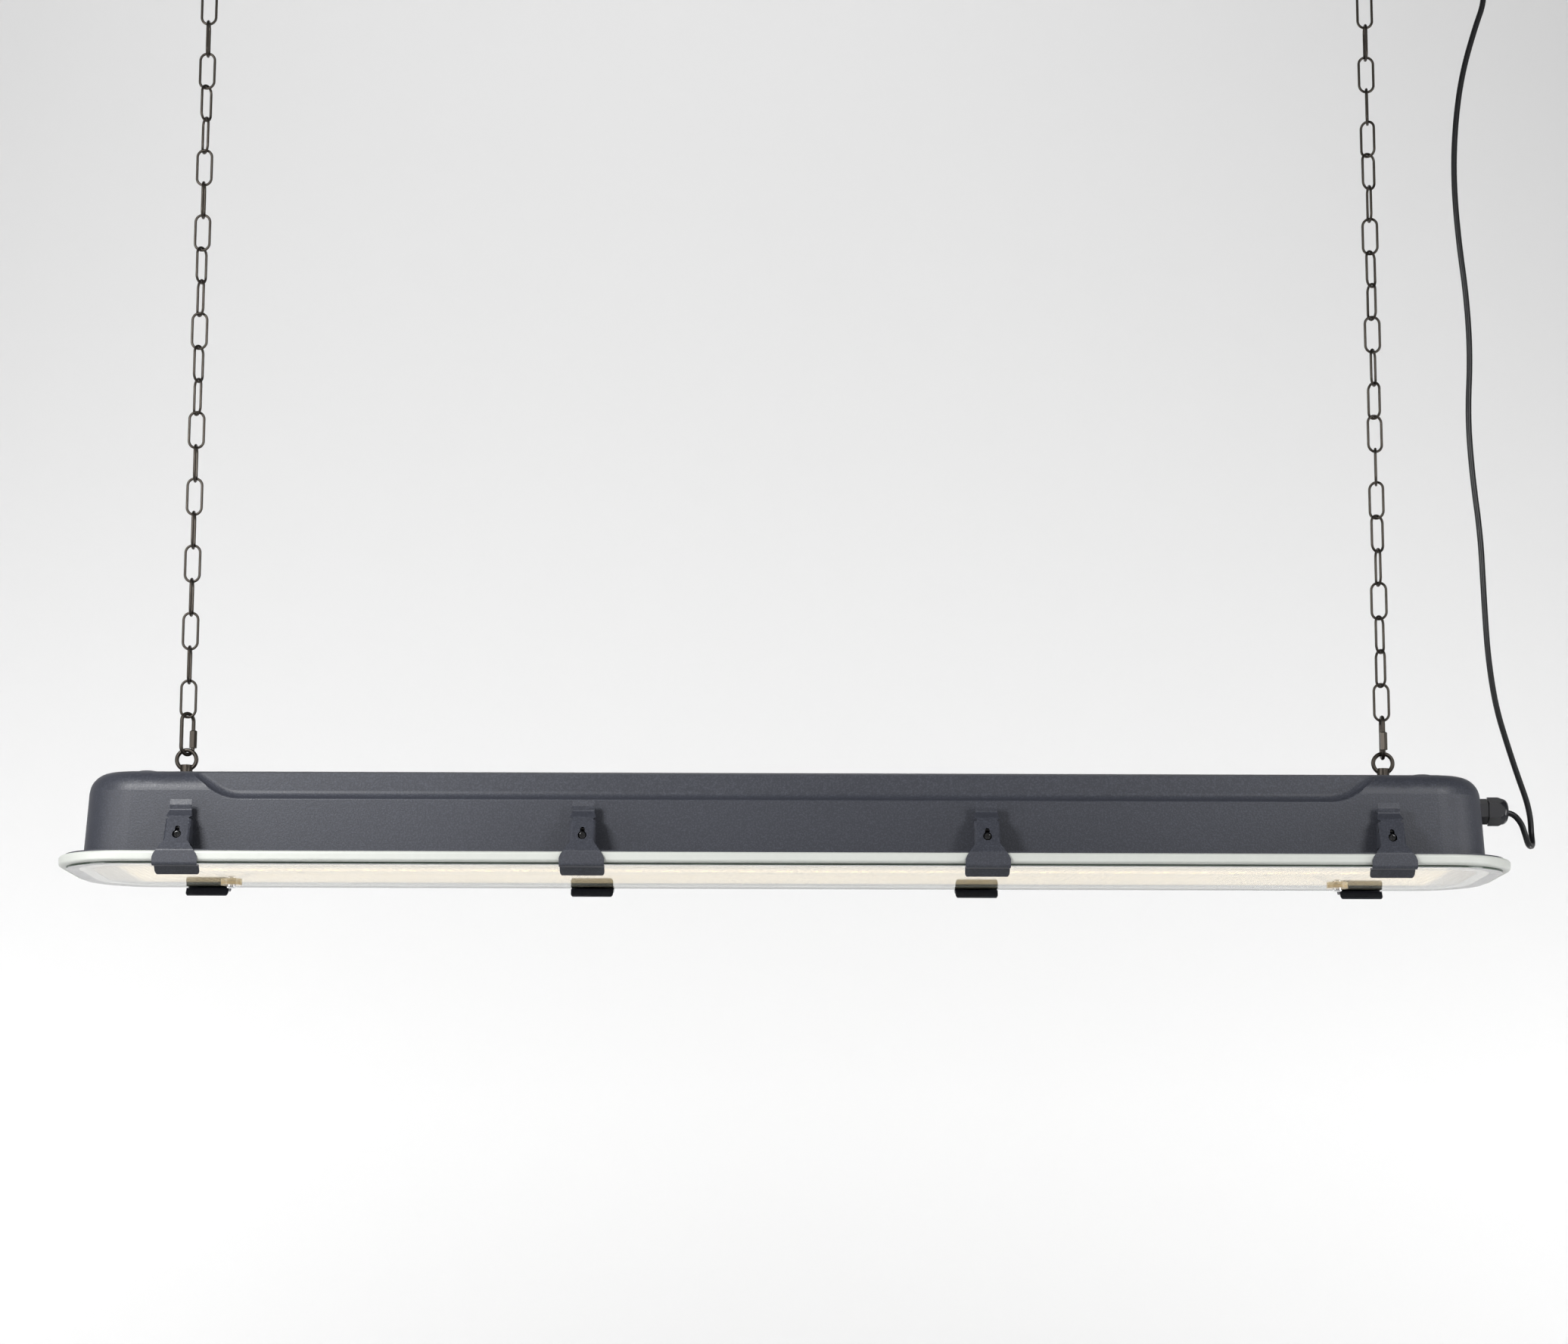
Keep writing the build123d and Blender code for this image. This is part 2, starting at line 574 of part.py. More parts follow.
def housing():
    """Painted sheet housing with flange, shoulder, gland boss and fixing holes."""
    body = housing_form(0.0)
    boss = along_x(GLAND_BOSS_DIAMETER, GLAND_BOSS_DEPTH, gland_inner_x, 0, gland_z)
    flange = slab(flange_length, flange_width, GASKET_CORNER - FLANGE_INSET, SHEET, flange_bottom_z)
    hollow = housing_form(SHEET)
    hollow += slab(wall_length - 2 * SHEET, wall_width - 2 * SHEET, WALL_CORNER - SHEET, SHEET, flange_bottom_z)
    shell = body + flange - hollow + boss
    shell -= along_x(GLAND_THREAD_DIAMETER, 3 * GLAND_BOSS_DEPTH, gland_inner_x - GLAND_BOSS_DEPTH, 0, gland_z)
    eye_hole = EYE_SHANK_DIAMETER + 2 * BOLT_CLEARANCE
    for side in SIDES.values():
        shell -= upright(eye_hole, 4 * SHEET, side * eye_spacing / 2, 0, housing_top_z - 2 * SHEET)
        shell -= upright(PLUG_THREAD, 4 * SHEET, side * plug_spacing / 2, 0, housing_top_z - 2 * SHEET)
    screw_hole = CLIP_SCREW_DIAMETER / 2 + BOLT_CLEARANCE
    hole_z = glass_bottom_z + CLIP_KEYHOLE_V
    for _, place in clip_places():
        shell -= place * Pos(0, -wall_half, hole_z) * Rot(90, 0, 0) * Cylinder(screw_hole, 4 * SHEET)
    return shell


def rim_gasket():
    """Silicone rim between flange and glass, rounded outside, with a rebate round the glass edge."""
    bottom_z = glass_top_z - GASKET_LIP_DROP
    ring = slab(GASKET_LENGTH, GASKET_WIDTH, GASKET_CORNER, GASKET_HEIGHT + GASKET_LIP_DROP, bottom_z)
    rims = ring.faces().sort_by(Axis.Z)
    ring = fillet(rims[0].edges() + rims[-1].edges(), GASKET_EDGE)
    ring -= slab(glass_length + 2 * GASKET_REBATE_GAP, glass_width + 2 * GASKET_REBATE_GAP,
                 GASKET_CORNER - GLASS_INSET + GASKET_REBATE_GAP, 2 * GASKET_LIP_DROP,
                 glass_top_z - 2 * GASKET_LIP_DROP)
    inside = slab(GASKET_LENGTH - 2 * GASKET_BREADTH, GASKET_WIDTH - 2 * GASKET_BREADTH,
                  GASKET_CORNER - GASKET_BREADTH, 3 * GASKET_HEIGHT, bottom_z - GASKET_HEIGHT)
    return ring - inside


def glass_screw_spots():
    """Plan places of the two retaining screws near the rear edge."""
    return [(side * glass_screw_x, glass_screw_y) for side in SIDES.values()]


def glass_cover():
    """Flat glass with rounded corners and two screw holes."""
    glass = slab(glass_length, glass_width, GASKET_CORNER - GLASS_INSET, GLASS_THICKNESS, glass_bottom_z)
    for x, y in glass_screw_spots():
        glass -= upright(GLASS_HOLE, 3 * GLASS_THICKNESS, x, y, glass_bottom_z - GLASS_THICKNESS)
    return glass


def glass_fixings():
    """Pillars from the tray to the glass, with a washer and a pan-head screw below each."""
    pillars = []
    washers = []
    screws = []
    washer_z = glass_bottom_z - GLASS_WASHER_THICKNESS
    thread_top = glass_top_z + 2 * GLASS_SCREW_DIAMETER
    for x, y in glass_screw_spots():
        pillar = upright(GLASS_PILLAR_DIAMETER, tray_bottom_z - glass_top_z, x, y, glass_top_z)
        bore = upright(GLASS_SCREW_DIAMETER, thread_top - glass_bottom_z, x, y, glass_bottom_z)
        pillars.append(pillar - bore)
        washer = upright(GLASS_WASHER_DIAMETER, GLASS_WASHER_THICKNESS, x, y, washer_z)
        washers.append(washer - upright(GLASS_SCREW_DIAMETER, 3 * GLASS_WASHER_THICKNESS, x, y,
                                        washer_z - GLASS_WASHER_THICKNESS))
        head = upright(GLASS_HEAD_DIAMETER, GLASS_HEAD_HEIGHT, x, y, washer_z - GLASS_HEAD_HEIGHT)
        head = fillet(head.faces().sort_by(Axis.Z)[0].edges(), GLASS_HEAD_HEIGHT * 0.6)
        screws.append(head + upright(GLASS_SCREW_DIAMETER, thread_top - washer_z, x, y, washer_z))
    return Compound(children=pillars), Compound(children=washers), Compound(children=screws)


def blanking_plugs():
    """Round plugs that close the two spare entries in the top, with ring nuts inside."""
    plugs = []
    nuts = []
    nut_z = inner_top_z - PLUG_NUT_HEIGHT
    for side in SIDES.values():
        x = side * plug_spacing / 2
        head = upright(PLUG_DIAMETER, PLUG_HEIGHT, x, 0, housing_top_z)
        head = fillet(head.faces().sort_by(Axis.Z)[-1].edges(), PLUG_EDGE)
        thread_length = PLUG_THREAD_LENGTH + SHEET
        plugs.append(head + upright(PLUG_THREAD, thread_length, x, 0, housing_top_z - thread_length))
        nut = upright(PLUG_NUT_DIAMETER, PLUG_NUT_HEIGHT, x, 0, nut_z)
        nuts.append(nut - upright(PLUG_THREAD, 3 * PLUG_NUT_HEIGHT, x, 0, nut_z - PLUG_NUT_HEIGHT))
    return Compound(children=plugs), Compound(children=nuts)


# Clip outline in u and v: lip, seat under the glass, heel, skirt, leaning body, step and thumb tab
clip_plane = Plane(origin=(0, 0, glass_bottom_z), x_dir=(0, -1, 0), z_dir=(-1, 0, 0))
skirt_u = GASKET_WIDTH / 2 + CLIP_SKIRT_GAP + CLIP_SHEET / 2
seat_u = glass_width / 2 - CLIP_SEAT_INSET
seat_v = -CLIP_SEAT_GAP - CLIP_SHEET / 2
body_top_u = skirt_u - CLIP_LEAN_IN
step_u = body_top_u - CLIP_STEP_IN
step_v = CLIP_BODY_TOP + CLIP_STEP_RISE
tab_u = step_u + CLIP_TAB_OUT
tab_v = step_v + CLIP_TAB_RISE
tip_v = tab_v + CLIP_TIP_RISE
lip_v = seat_v - CLIP_LIP_DROP
lean_rise = CLIP_BODY_TOP - CLIP_SKIRT_RISE
lean_length = math.hypot(CLIP_LEAN_IN, lean_rise)
web_depth = CLIP_SHEET / 2 * lean_length / lean_rise


def body_u(v):
    """Middle of the leaning web at a height."""
    return skirt_u - CLIP_LEAN_IN * (v - CLIP_SKIRT_RISE) / lean_rise


pin_u = body_u(PIN_V) - PIN_SETBACK
bracket_outer = CLIP_BODY_WIDTH / 2 - CLIP_SHEET - BRACKET_SIDE_GAP
bracket_inner = bracket_outer - BRACKET_SHEET


def clip_bar(diameter, start_u, end_u, v):
    """Round bar across the clip, along u, on its middle plane."""
    length = end_u - start_u
    place = Pos(0, -(start_u + end_u) / 2, glass_bottom_z + v)
    return place * Rot(90, 0, 0) * Cylinder(diameter / 2, length)


def clip_pin_bar(diameter, length):
    """Round bar along the clip's pivot line."""
    return along_x(diameter, length, -length / 2, -pin_u, glass_bottom_z + PIN_V)


def clip_latch():
    """Stamped latch: hooked lip, flared skirt, channel body with keyhole, and thumb tab."""
    line = [
        (seat_u - CLIP_LIP_LENGTH, lip_v),
        (seat_u, seat_v),
        (skirt_u, -CLIP_HEEL_DROP),
        (skirt_u, CLIP_SKIRT_RISE),
        (body_top_u, CLIP_BODY_TOP),
        (step_u, step_v),
        (tab_u, tab_v),
        (tab_u - CLIP_TIP_IN, tip_v),
    ]
    sheet = extrude(clip_plane * strip_face(line, CLIP_SHEET, CLIP_BEND), CLIP_SKIRT_WIDTH, both=True)
    web_half = CLIP_BODY_WIDTH / 2 - CLIP_SIDE_RADIUS
    body_half = CLIP_BODY_WIDTH / 2
    skirt_half = CLIP_SKIRT_WIDTH / 2
    tab_half = CLIP_TAB_WIDTH / 2
    shoulder_v = CLIP_FLANGE_BOTTOM - CLIP_SHEET
    outline = [
        (tab_half, tip_v + CLIP_SHEET),
        (tab_half, step_v),
        (body_half, CLIP_BODY_TOP),
        (web_half, CLIP_BODY_TOP - CLIP_SHEET),
        (web_half, CLIP_FLANGE_BOTTOM + CLIP_SHEET),
        (body_half, shoulder_v),
        (skirt_half - CLIP_SHEET, shoulder_v / 2 - CLIP_SHEET),
        (skirt_half, shoulder_v / 4),
        (skirt_half, -CLIP_HEEL_DROP + CLIP_SHEET),
        (CLIP_LIP_WIDTH / 2, -CLIP_HEEL_DROP),
        (CLIP_LIP_WIDTH / 2, lip_v - CLIP_SHEET),
    ]
    mirrored = [(-x, v) for x, v in reversed(outline)]
    shape = make_face(Polyline(*outline, *mirrored, close=True))
    levels = shape.vertices().group_by(Axis.Y)
    shape = fillet(levels[-1], CLIP_TAB_CORNER)
    shape = fillet(shape.vertices().group_by(Axis.Y)[0], CLIP_LIP_CORNER)
    face_plane = Plane(origin=(0, 0, glass_bottom_z), x_dir=(1, 0, 0), z_dir=(0, -1, 0))
    latch = sheet & extrude(face_plane * shape, GASKET_WIDTH)
    latch += clip_channel()
    key = Pos(0, CLIP_KEYHOLE_V) * Circle(CLIP_KEYHOLE_DIAMETER / 2)
    slot_top = CLIP_KEYHOLE_V + CLIP_SLOT_RISE - CLIP_SLOT_WIDTH / 2
    key += Pos(0, (CLIP_KEYHOLE_V + slot_top) / 2) * Rectangle(CLIP_SLOT_WIDTH, slot_top - CLIP_KEYHOLE_V)
    key += Pos(0, slot_top) * Circle(CLIP_SLOT_WIDTH / 2)
    cut_start = face_plane.offset(body_u(tip_v))
    latch -= extrude(cut_start * key, GASKET_WIDTH)
    return latch - clip_pin_bar(PIN_DIAMETER + 2 * PIN_FIT, 2 * CLIP_BODY_WIDTH)


def clip_channel():
    """Body of the latch: a leaning channel whose side flanges carry the pivot pin."""
    depth = CLIP_FLANGE_REACH + CLIP_SHEET
    outer = Pos(0, depth / 2 - CLIP_SHEET / 2) * Rectangle(CLIP_BODY_WIDTH, depth)
    outer = fillet(outer.vertices().group_by(Axis.Y)[0], CLIP_SIDE_RADIUS)
    inner_width = CLIP_BODY_WIDTH - 2 * CLIP_SHEET
    inner = Pos(0, depth / 2 + CLIP_SHEET / 2) * Rectangle(inner_width, depth)
    inner = fillet(inner.vertices().group_by(Axis.Y)[0], CLIP_SIDE_RADIUS - CLIP_SHEET)
    base_v = CLIP_FLANGE_BOTTOM - CLIP_SHEET
    lean = Vector(0, CLIP_LEAN_IN, lean_rise) / lean_length
    start = Vector(0, -body_u(base_v), glass_bottom_z + base_v)
    plane = Plane(origin=start, x_dir=(1, 0, 0), z_dir=lean)
    length = (CLIP_BODY_TOP - base_v) * lean_length / lean_rise
    channel = extrude(plane * (outer - inner), length)
    back_u = body_u(CLIP_FLANGE_BOTTOM) - CLIP_FLANGE_REACH
    far_u = skirt_u + CLIP_SHEET
    keep = Polyline(
        (back_u, PIN_V + PIN_DIAMETER * 2),
        (far_u, CLIP_BODY_TOP + 2 * CLIP_SHEET),
        (far_u, 0),
        (body_u(CLIP_FLANGE_BOTTOM), CLIP_FLANGE_BOTTOM - 2 * CLIP_SHEET),
        (pin_u, CLIP_FLANGE_BOTTOM),
        (back_u, PIN_V - 2 * PIN_DIAMETER),
        close=True,
    )
    return channel & extrude(clip_plane * make_face(keep), CLIP_BODY_WIDTH, both=True)


def clip_bracket():
    """Channel bracket on the housing wall, inside the latch, that holds the pivot pin."""
    outline = make_face(Polyline(
        (wall_half, BRACKET_BOTTOM),
        (body_u(BRACKET_BOTTOM) - BRACKET_SETBACK, BRACKET_BOTTOM),
        (body_u(BRACKET_KNEE) - BRACKET_SETBACK, BRACKET_KNEE),
        (body_u(BRACKET_TOP) - BRACKET_TOP_SETBACK, BRACKET_TOP),
        (wall_half, BRACKET_TOP),
        close=True,
    ))
    block = extrude(clip_plane * outline, bracket_outer, both=True)
    middle_v = (BRACKET_BOTTOM + BRACKET_TOP) / 2
    room_u = wall_half + BRACKET_SHEET
    room = Pos(0, -room_u - GASKET_WIDTH / 2, glass_bottom_z + middle_v) * Box(
        2 * bracket_inner, GASKET_WIDTH, 2 * BRACKET_TOP)
    bracket = block - room - clip_pin_bar(PIN_DIAMETER, 4 * bracket_outer)
    return bracket - clip_bar(CLIP_SCREW_DIAMETER, wall_half - SHEET, room_u + SHEET, CLIP_KEYHOLE_V)


def clip_pin():
    """Pivot pin pressed into both cheeks of the bracket."""
    return clip_pin_bar(PIN_DIAMETER, CLIP_BODY_WIDTH)


spring_u = wall_half + BRACKET_SHEET + SPRING_THICKNESS / 2


def clip_spring():
    """Leaf spring held under the pillar screw, its free end behind the top of the latch."""
    tip_level = BRACKET_TOP
    tip_u = body_u(tip_level) - web_depth - SPRING_TIP_GAP - SPRING_THICKNESS / 2
    knee_v = CLIP_KEYHOLE_V + CLIP_PILLAR_DIAMETER
    line = [
        (spring_u, BRACKET_BOTTOM + CLIP_SHEET),
        (spring_u, knee_v),
        ((spring_u + tip_u) / 2, tip_level - 1.5 * CLIP_SHEET),
        (tip_u, tip_level),
    ]
    leaf = extrude(clip_plane * strip_face(line, SPRING_THICKNESS, CLIP_BEND), SPRING_WIDTH / 2, both=True)
    hole_end = spring_u + CLIP_PILLAR_DIAMETER
    return leaf - clip_bar(CLIP_SCREW_DIAMETER, wall_half, hole_end, CLIP_KEYHOLE_V)


def clip_screw():
    """Pillar screw through bracket and wall, with a cross-slot pan head behind the keyhole."""
    seat = spring_u + SPRING_THICKNESS / 2
    face = body_u(CLIP_KEYHOLE_V) - web_depth - CLIP_HEAD_SETBACK
    neck = face - CLIP_HEAD_HEIGHT
    inner_end = wall_half - SHEET - CLIP_NUT_HEIGHT - CLIP_SHEET
    head = clip_bar(CLIP_HEAD_DIAMETER, neck, face, CLIP_KEYHOLE_V)
    head = fillet(head.faces().sort_by(Axis.Y)[0].edges(), CLIP_HEAD_HEIGHT / 2)
    middle = Pos(0, -face, glass_bottom_z + CLIP_KEYHOLE_V)
    head -= middle * Box(CLIP_CROSS_WIDTH, 2 * CLIP_CROSS_DEPTH, CLIP_CROSS_LENGTH)
    head -= middle * Box(CLIP_CROSS_LENGTH, 2 * CLIP_CROSS_DEPTH, CLIP_CROSS_WIDTH)
    pillar = clip_bar(CLIP_PILLAR_DIAMETER, seat, neck, CLIP_KEYHOLE_V)
    return head + pillar + clip_bar(CLIP_SCREW_DIAMETER, inner_end, seat, CLIP_KEYHOLE_V)


def clip_nut():
    """Hexagon nut on the pillar screw, inside the wall."""
    plane = Plane(origin=(0, -(wall_half - SHEET), glass_bottom_z + CLIP_KEYHOLE_V), z_dir=(0, 1, 0))
    nut = extrude(plane * RegularPolygon(CLIP_NUT_ACROSS_FLATS / math.sqrt(3), 6), CLIP_NUT_HEIGHT)
    return nut - clip_bar(CLIP_SCREW_DIAMETER, 0, wall_half, CLIP_KEYHOLE_V)


def gland():
    """Cable gland: body with hexagon and spigot, locknut, rubber seal and domed nut."""
    thread_x = gland_face_x - GLAND_THREAD_LENGTH
    spigot_x = gland_face_x + GLAND_HEX_LENGTH
    body = hex_along_x(GLAND_HEX_CORNERS, GLAND_HEX_LENGTH, gland_face_x, 0, gland_z)
    body += along_x(GLAND_THREAD_DIAMETER, GLAND_THREAD_LENGTH, thread_x, 0, gland_z)
    body += along_x(GLAND_SPIGOT_DIAMETER, GLAND_SPIGOT_LENGTH, spigot_x, 0, gland_z)
    whole = GLAND_THREAD_LENGTH + GLAND_HEX_LENGTH + GLAND_SPIGOT_LENGTH
    body -= along_x(GLAND_SEAL_DIAMETER, whole, thread_x, 0, gland_z)
    seal = along_x(GLAND_SEAL_DIAMETER, whole, thread_x, 0, gland_z)
    seal -= along_x(CABLE_DIAMETER, whole, thread_x, 0, gland_z)
    locknut_x = gland_inner_x - GLAND_LOCKNUT_HEIGHT
    locknut = hex_along_x(GLAND_LOCKNUT_CORNERS, GLAND_LOCKNUT_HEIGHT, locknut_x, 0, gland_z)
    locknut -= along_x(GLAND_THREAD_DIAMETER, 3 * GLAND_LOCKNUT_HEIGHT,
                       locknut_x - GLAND_LOCKNUT_HEIGHT, 0, gland_z)
    return body, seal, locknut


def gland_nut():
    """Hexagon nut with a domed mouth that squeezes the seal round the cable."""
    hex_part = hex_along_x(GLAND_NUT_CORNERS, GLAND_NUT_LENGTH, gland_nut_start_x, 0, gland_z)
    dome_length = GLAND_NUT_LENGTH - GLAND_NUT_HEX_LENGTH
    outer = GLAND_NUT_CORNERS / 2
    shoulder = outer * 0.9
    mouth = GLAND_NUT_FACE_DIAMETER / 2
    dome_foot = (shoulder, GLAND_NUT_HEX_LENGTH + dome_length * 0.2)
    bend = ((shoulder + mouth) / 2 + (shoulder - mouth) * 0.25, GLAND_NUT_LENGTH - dome_length * 0.3)
    profile = [
        Line((0, 0), (outer, 0)),
        Line((outer, 0), (outer, GLAND_NUT_HEX_LENGTH - dome_length * 0.2)),
        Line((outer, GLAND_NUT_HEX_LENGTH - dome_length * 0.2), dome_foot),
        ThreePointArc(dome_foot, bend, (mouth, GLAND_NUT_LENGTH)),
        Line((mouth, GLAND_NUT_LENGTH), (0, GLAND_NUT_LENGTH)),
        Line((0, GLAND_NUT_LENGTH), (0, 0)),
    ]
    place = Plane(origin=(gland_nut_start_x, 0, gland_z), x_dir=(0, 1, 0), z_dir=(1, 0, 0))
    turned = revolve(Plane.XZ * make_face(Wire(profile)), Axis.Z)
    nut = hex_part & (place.location * turned)
    spigot_room = GLAND_SPIGOT_LENGTH + GLAND_NUT_CLEARANCE - GLAND_NUT_GAP
    bore = GLAND_SPIGOT_DIAMETER + 2 * GLAND_NUT_CLEARANCE
    nut -= along_x(bore, 2 * spigot_room, gland_nut_start_x - spigot_room, 0, gland_z)
    mouth_bore = CABLE_DIAMETER + 2 * CABLE_MOUTH_CLEARANCE
    return nut - along_x(mouth_bore, 2 * GLAND_NUT_LENGTH, gland_nut_start_x, 0, gland_z)


cable_start_x = gland_mouth_x - CABLE_START_DEPTH
rose_grip_z = -ROSE_DEPTH - ROSE_GRIP_LENGTH
cable_end_z = -ROSE_DEPTH - ROSE_GRIP_LENGTH / 2


def cable_points():
    """Corner points of the free cable, from inside the gland mouth to inside the rose grip."""
    points = [Vector(cable_start_x, 0, gland_z)]
    for reach, y, height in CABLE_ROUTE:
        points.append(Vector(gland_mouth_x + reach, y, glass_bottom_z + height))
    points.append(Vector(rose_x, ROSE_Y, rose_grip_z - CABLE_GRIP_RUN))
    points.append(Vector(rose_x, ROSE_Y, cable_end_z))
    return points


def supply_cable():
    """Free cable: a tube of straight runs and arcs as large as the runs allow."""
    points = cable_points()
    radii = []
    for before, here, after in zip(points, points[1:], points[2:]):
        turn = math.radians((here - before).get_angle(after - here))
        run = min((here - before).length, (after - here).length)
        radii.append(0.45 * run / math.tan(turn / 2))
    print("cable radii", [round(radius, 1) for radius in radii])
    print("cable runs", [round((b - a).length, 1) for a, b in zip(points, points[1:])])
    path = FilletPolyline(*points, radius=radii)
    tube = swept_bar(path, CABLE_DIAMETER)
    expected = path.length * math.pi * CABLE_DIAMETER ** 2 / 4
    print("cable length", round(path.length, 1), "volume over section times length", tube.volume / expected)
    return tube


def cable_tail():
    """Sheathed end of the cable held in the gland, reaching into the housing."""
    start = gland_face_x - GLAND_THREAD_LENGTH - CABLE_TAIL_INSIDE
    return along_x(CABLE_DIAMETER, cable_start_x - start, start, 0, gland_z)


def ceiling_rose():
    """Round cup against the ceiling, open towards it."""
    outer = upright(ROSE_DIAMETER, ROSE_DEPTH, rose_x, ROSE_Y, -ROSE_DEPTH)
    outer = fillet(outer.faces().sort_by(Axis.Z)[0].edges(), ROSE_EDGE)
    hollow = upright(ROSE_DIAMETER - 2 * ROSE_WALL, ROSE_DEPTH, rose_x, ROSE_Y, ROSE_WALL - ROSE_DEPTH)
    hollow = fillet(hollow.faces().sort_by(Axis.Z)[0].edges(), ROSE_EDGE - ROSE_WALL)
    cup = outer - hollow
    cup -= upright(ROSE_GRIP_THREAD, 4 * ROSE_WALL, rose_x, ROSE_Y, -ROSE_DEPTH - ROSE_WALL)
    through = along_x(ROSE_SIDE_SCREW, 2 * ROSE_DIAMETER, rose_x - ROSE_DIAMETER, ROSE_Y, -ROSE_STRAP_EAR / 2)
    return cup - through


def rose_strap():
    """Flat strap screwed to the ceiling, with a bent ear at each end for the cup."""
    half = ROSE_DIAMETER / 2 - ROSE_WALL - ROSE_STRAP_GAP
    centre = Pos(rose_x, ROSE_Y, 0)
    strap = centre * Pos(0, 0, -ROSE_STRAP_SHEET / 2) * Box(2 * half, ROSE_STRAP_WIDTH, ROSE_STRAP_SHEET)
    for side in SIDES.values():
        strap += centre * Pos(side * (half - ROSE_STRAP_SHEET / 2), 0, -ROSE_STRAP_EAR / 2) * Box(
            ROSE_STRAP_SHEET, ROSE_STRAP_WIDTH, ROSE_STRAP_EAR)
        strap -= upright(ROSE_SCREW_HOLE, 4 * ROSE_STRAP_SHEET, rose_x + side * ROSE_SCREW_SPACING / 2,
                         ROSE_Y, -2 * ROSE_STRAP_SHEET)
    strap -= upright(ROSE_ENTRY_HOLE, 4 * ROSE_STRAP_SHEET, rose_x, ROSE_Y, -2 * ROSE_STRAP_SHEET)
    strap &= upright(2 * half, 3 * ROSE_STRAP_EAR, rose_x, ROSE_Y, -2 * ROSE_STRAP_EAR)
    through = along_x(ROSE_SIDE_SCREW, 2 * ROSE_DIAMETER, rose_x - ROSE_DIAMETER, ROSE_Y, -ROSE_STRAP_EAR / 2)
    return strap - through


def rose_screws():
    """Two side screws that hold the cup on the strap."""
    screws = []
    edge = ROSE_DIAMETER / 2
    flat = math.sqrt(edge ** 2 - (ROSE_SIDE_HEAD_DIAMETER / 2) ** 2)
    for side in SIDES.values():
        head_x = rose_x + side * edge - (0 if side > 0 else ROSE_SIDE_HEAD_HEIGHT)
        head = along_x(ROSE_SIDE_HEAD_DIAMETER, ROSE_SIDE_HEAD_HEIGHT, head_x, ROSE_Y, -ROSE_STRAP_EAR / 2)
        length = ROSE_SIDE_SCREW_DEPTH + edge - flat
        shank_x = rose_x + side * edge - (length if side > 0 else 0)
        screws.append(head + along_x(ROSE_SIDE_SCREW, length, shank_x, ROSE_Y, -ROSE_STRAP_EAR / 2))
    return Compound(children=screws)


def rose_grip():
    """Cord grip under the rose: tapered collar, thread through the cup and ring nut inside."""
    collar = Pos(rose_x, ROSE_Y, rose_grip_z + ROSE_GRIP_LENGTH / 2) * Cone(
        ROSE_GRIP_DIAMETER / 2 - ROSE_GRIP_TAPER, ROSE_GRIP_DIAMETER / 2, ROSE_GRIP_LENGTH)
    grip = collar + upright(ROSE_GRIP_THREAD, ROSE_GRIP_THREAD_LENGTH, rose_x, ROSE_Y, -ROSE_DEPTH)
    grip -= upright(CABLE_DIAMETER, 3 * ROSE_DEPTH, rose_x, ROSE_Y, -2 * ROSE_DEPTH)
    nut_z = ROSE_WALL - ROSE_DEPTH
    hexagon = RegularPolygon(ROSE_GRIP_NUT_CORNERS / 2, 6)
    nut = Pos(rose_x, ROSE_Y, nut_z) * extrude(hexagon, ROSE_GRIP_NUT_HEIGHT)
    nut -= upright(ROSE_GRIP_THREAD, 3 * ROSE_GRIP_NUT_HEIGHT, rose_x, ROSE_Y, nut_z - ROSE_GRIP_NUT_HEIGHT)
    return grip, nut


def tray_spots():
    """Plan places of the pillars that carry the gear tray."""
    rows = (-tray_pillar_y, tray_pillar_y)
    return [(column * tray_pillar_x, y) for column in (-1, 0, 1) for y in rows]


def gear_tray():
    """White reflector tray, its edges turned down, with the boards below and the driver above."""
    skirt_z = tray_bottom_z - TRAY_SKIRT
    tray = slab(tray_length, tray_width, TRAY_CORNER, TRAY_SHEET + TRAY_SKIRT, skirt_z)
    tray -= slab(tray_length - 2 * TRAY_SHEET, tray_width - 2 * TRAY_SHEET, TRAY_CORNER - TRAY_SHEET,
                 TRAY_SKIRT, skirt_z)
    for x, y in tray_spots():
        tray -= upright(TRAY_SCREW_DIAMETER, 4 * TRAY_SHEET, x, y, tray_bottom_z - TRAY_SHEET)
    for x, _ in driver_spots():
        tray -= upright(DRIVER_SCREW_DIAMETER, 4 * TRAY_SHEET, x, 0, tray_bottom_z - TRAY_SHEET)
    return tray


def tray_fixings():
    """Pillars under the housing top and the screws that hold the tray to them."""
    pillars = []
    screws = []
    for x, y in tray_spots():
        pillar = upright(TRAY_PILLAR_DIAMETER, inner_top_z - tray_top_z, x, y, tray_top_z)
        pillars.append(pillar - upright(TRAY_SCREW_DIAMETER, TRAY_SCREW_LENGTH, x, y, tray_top_z))
        head = upright(TRAY_HEAD_DIAMETER, TRAY_HEAD_HEIGHT, x, y, tray_bottom_z - TRAY_HEAD_HEIGHT)
        screws.append(head + upright(TRAY_SCREW_DIAMETER, TRAY_SHEET + TRAY_SCREW_LENGTH, x, y, tray_bottom_z))
    return Compound(children=pillars), Compound(children=screws)


led_board_z = tray_bottom_z - LED_BOARD_THICKNESS


def led_board(y):
    """Long circuit board under the tray."""
    return Pos(0, y, led_board_z + LED_BOARD_THICKNESS / 2) * Box(
        led_board_length, led_board_width, LED_BOARD_THICKNESS)


def led_chips():
    """Square light-emitting packages in a row on each board."""
    count = int((led_board_length - LED_CHIP_PITCH) / LED_CHIP_PITCH) + 1
    chip = Box(LED_CHIP, LED_CHIP, LED_CHIP_HEIGHT)
    chips = []
    for y in (-led_board_y, led_board_y):
        for index in range(count):
            x = (index - (count - 1) / 2) * LED_CHIP_PITCH
            chips.append(Pos(x, y, led_board_z - LED_CHIP_HEIGHT / 2) * chip)
    return Compound(children=chips)


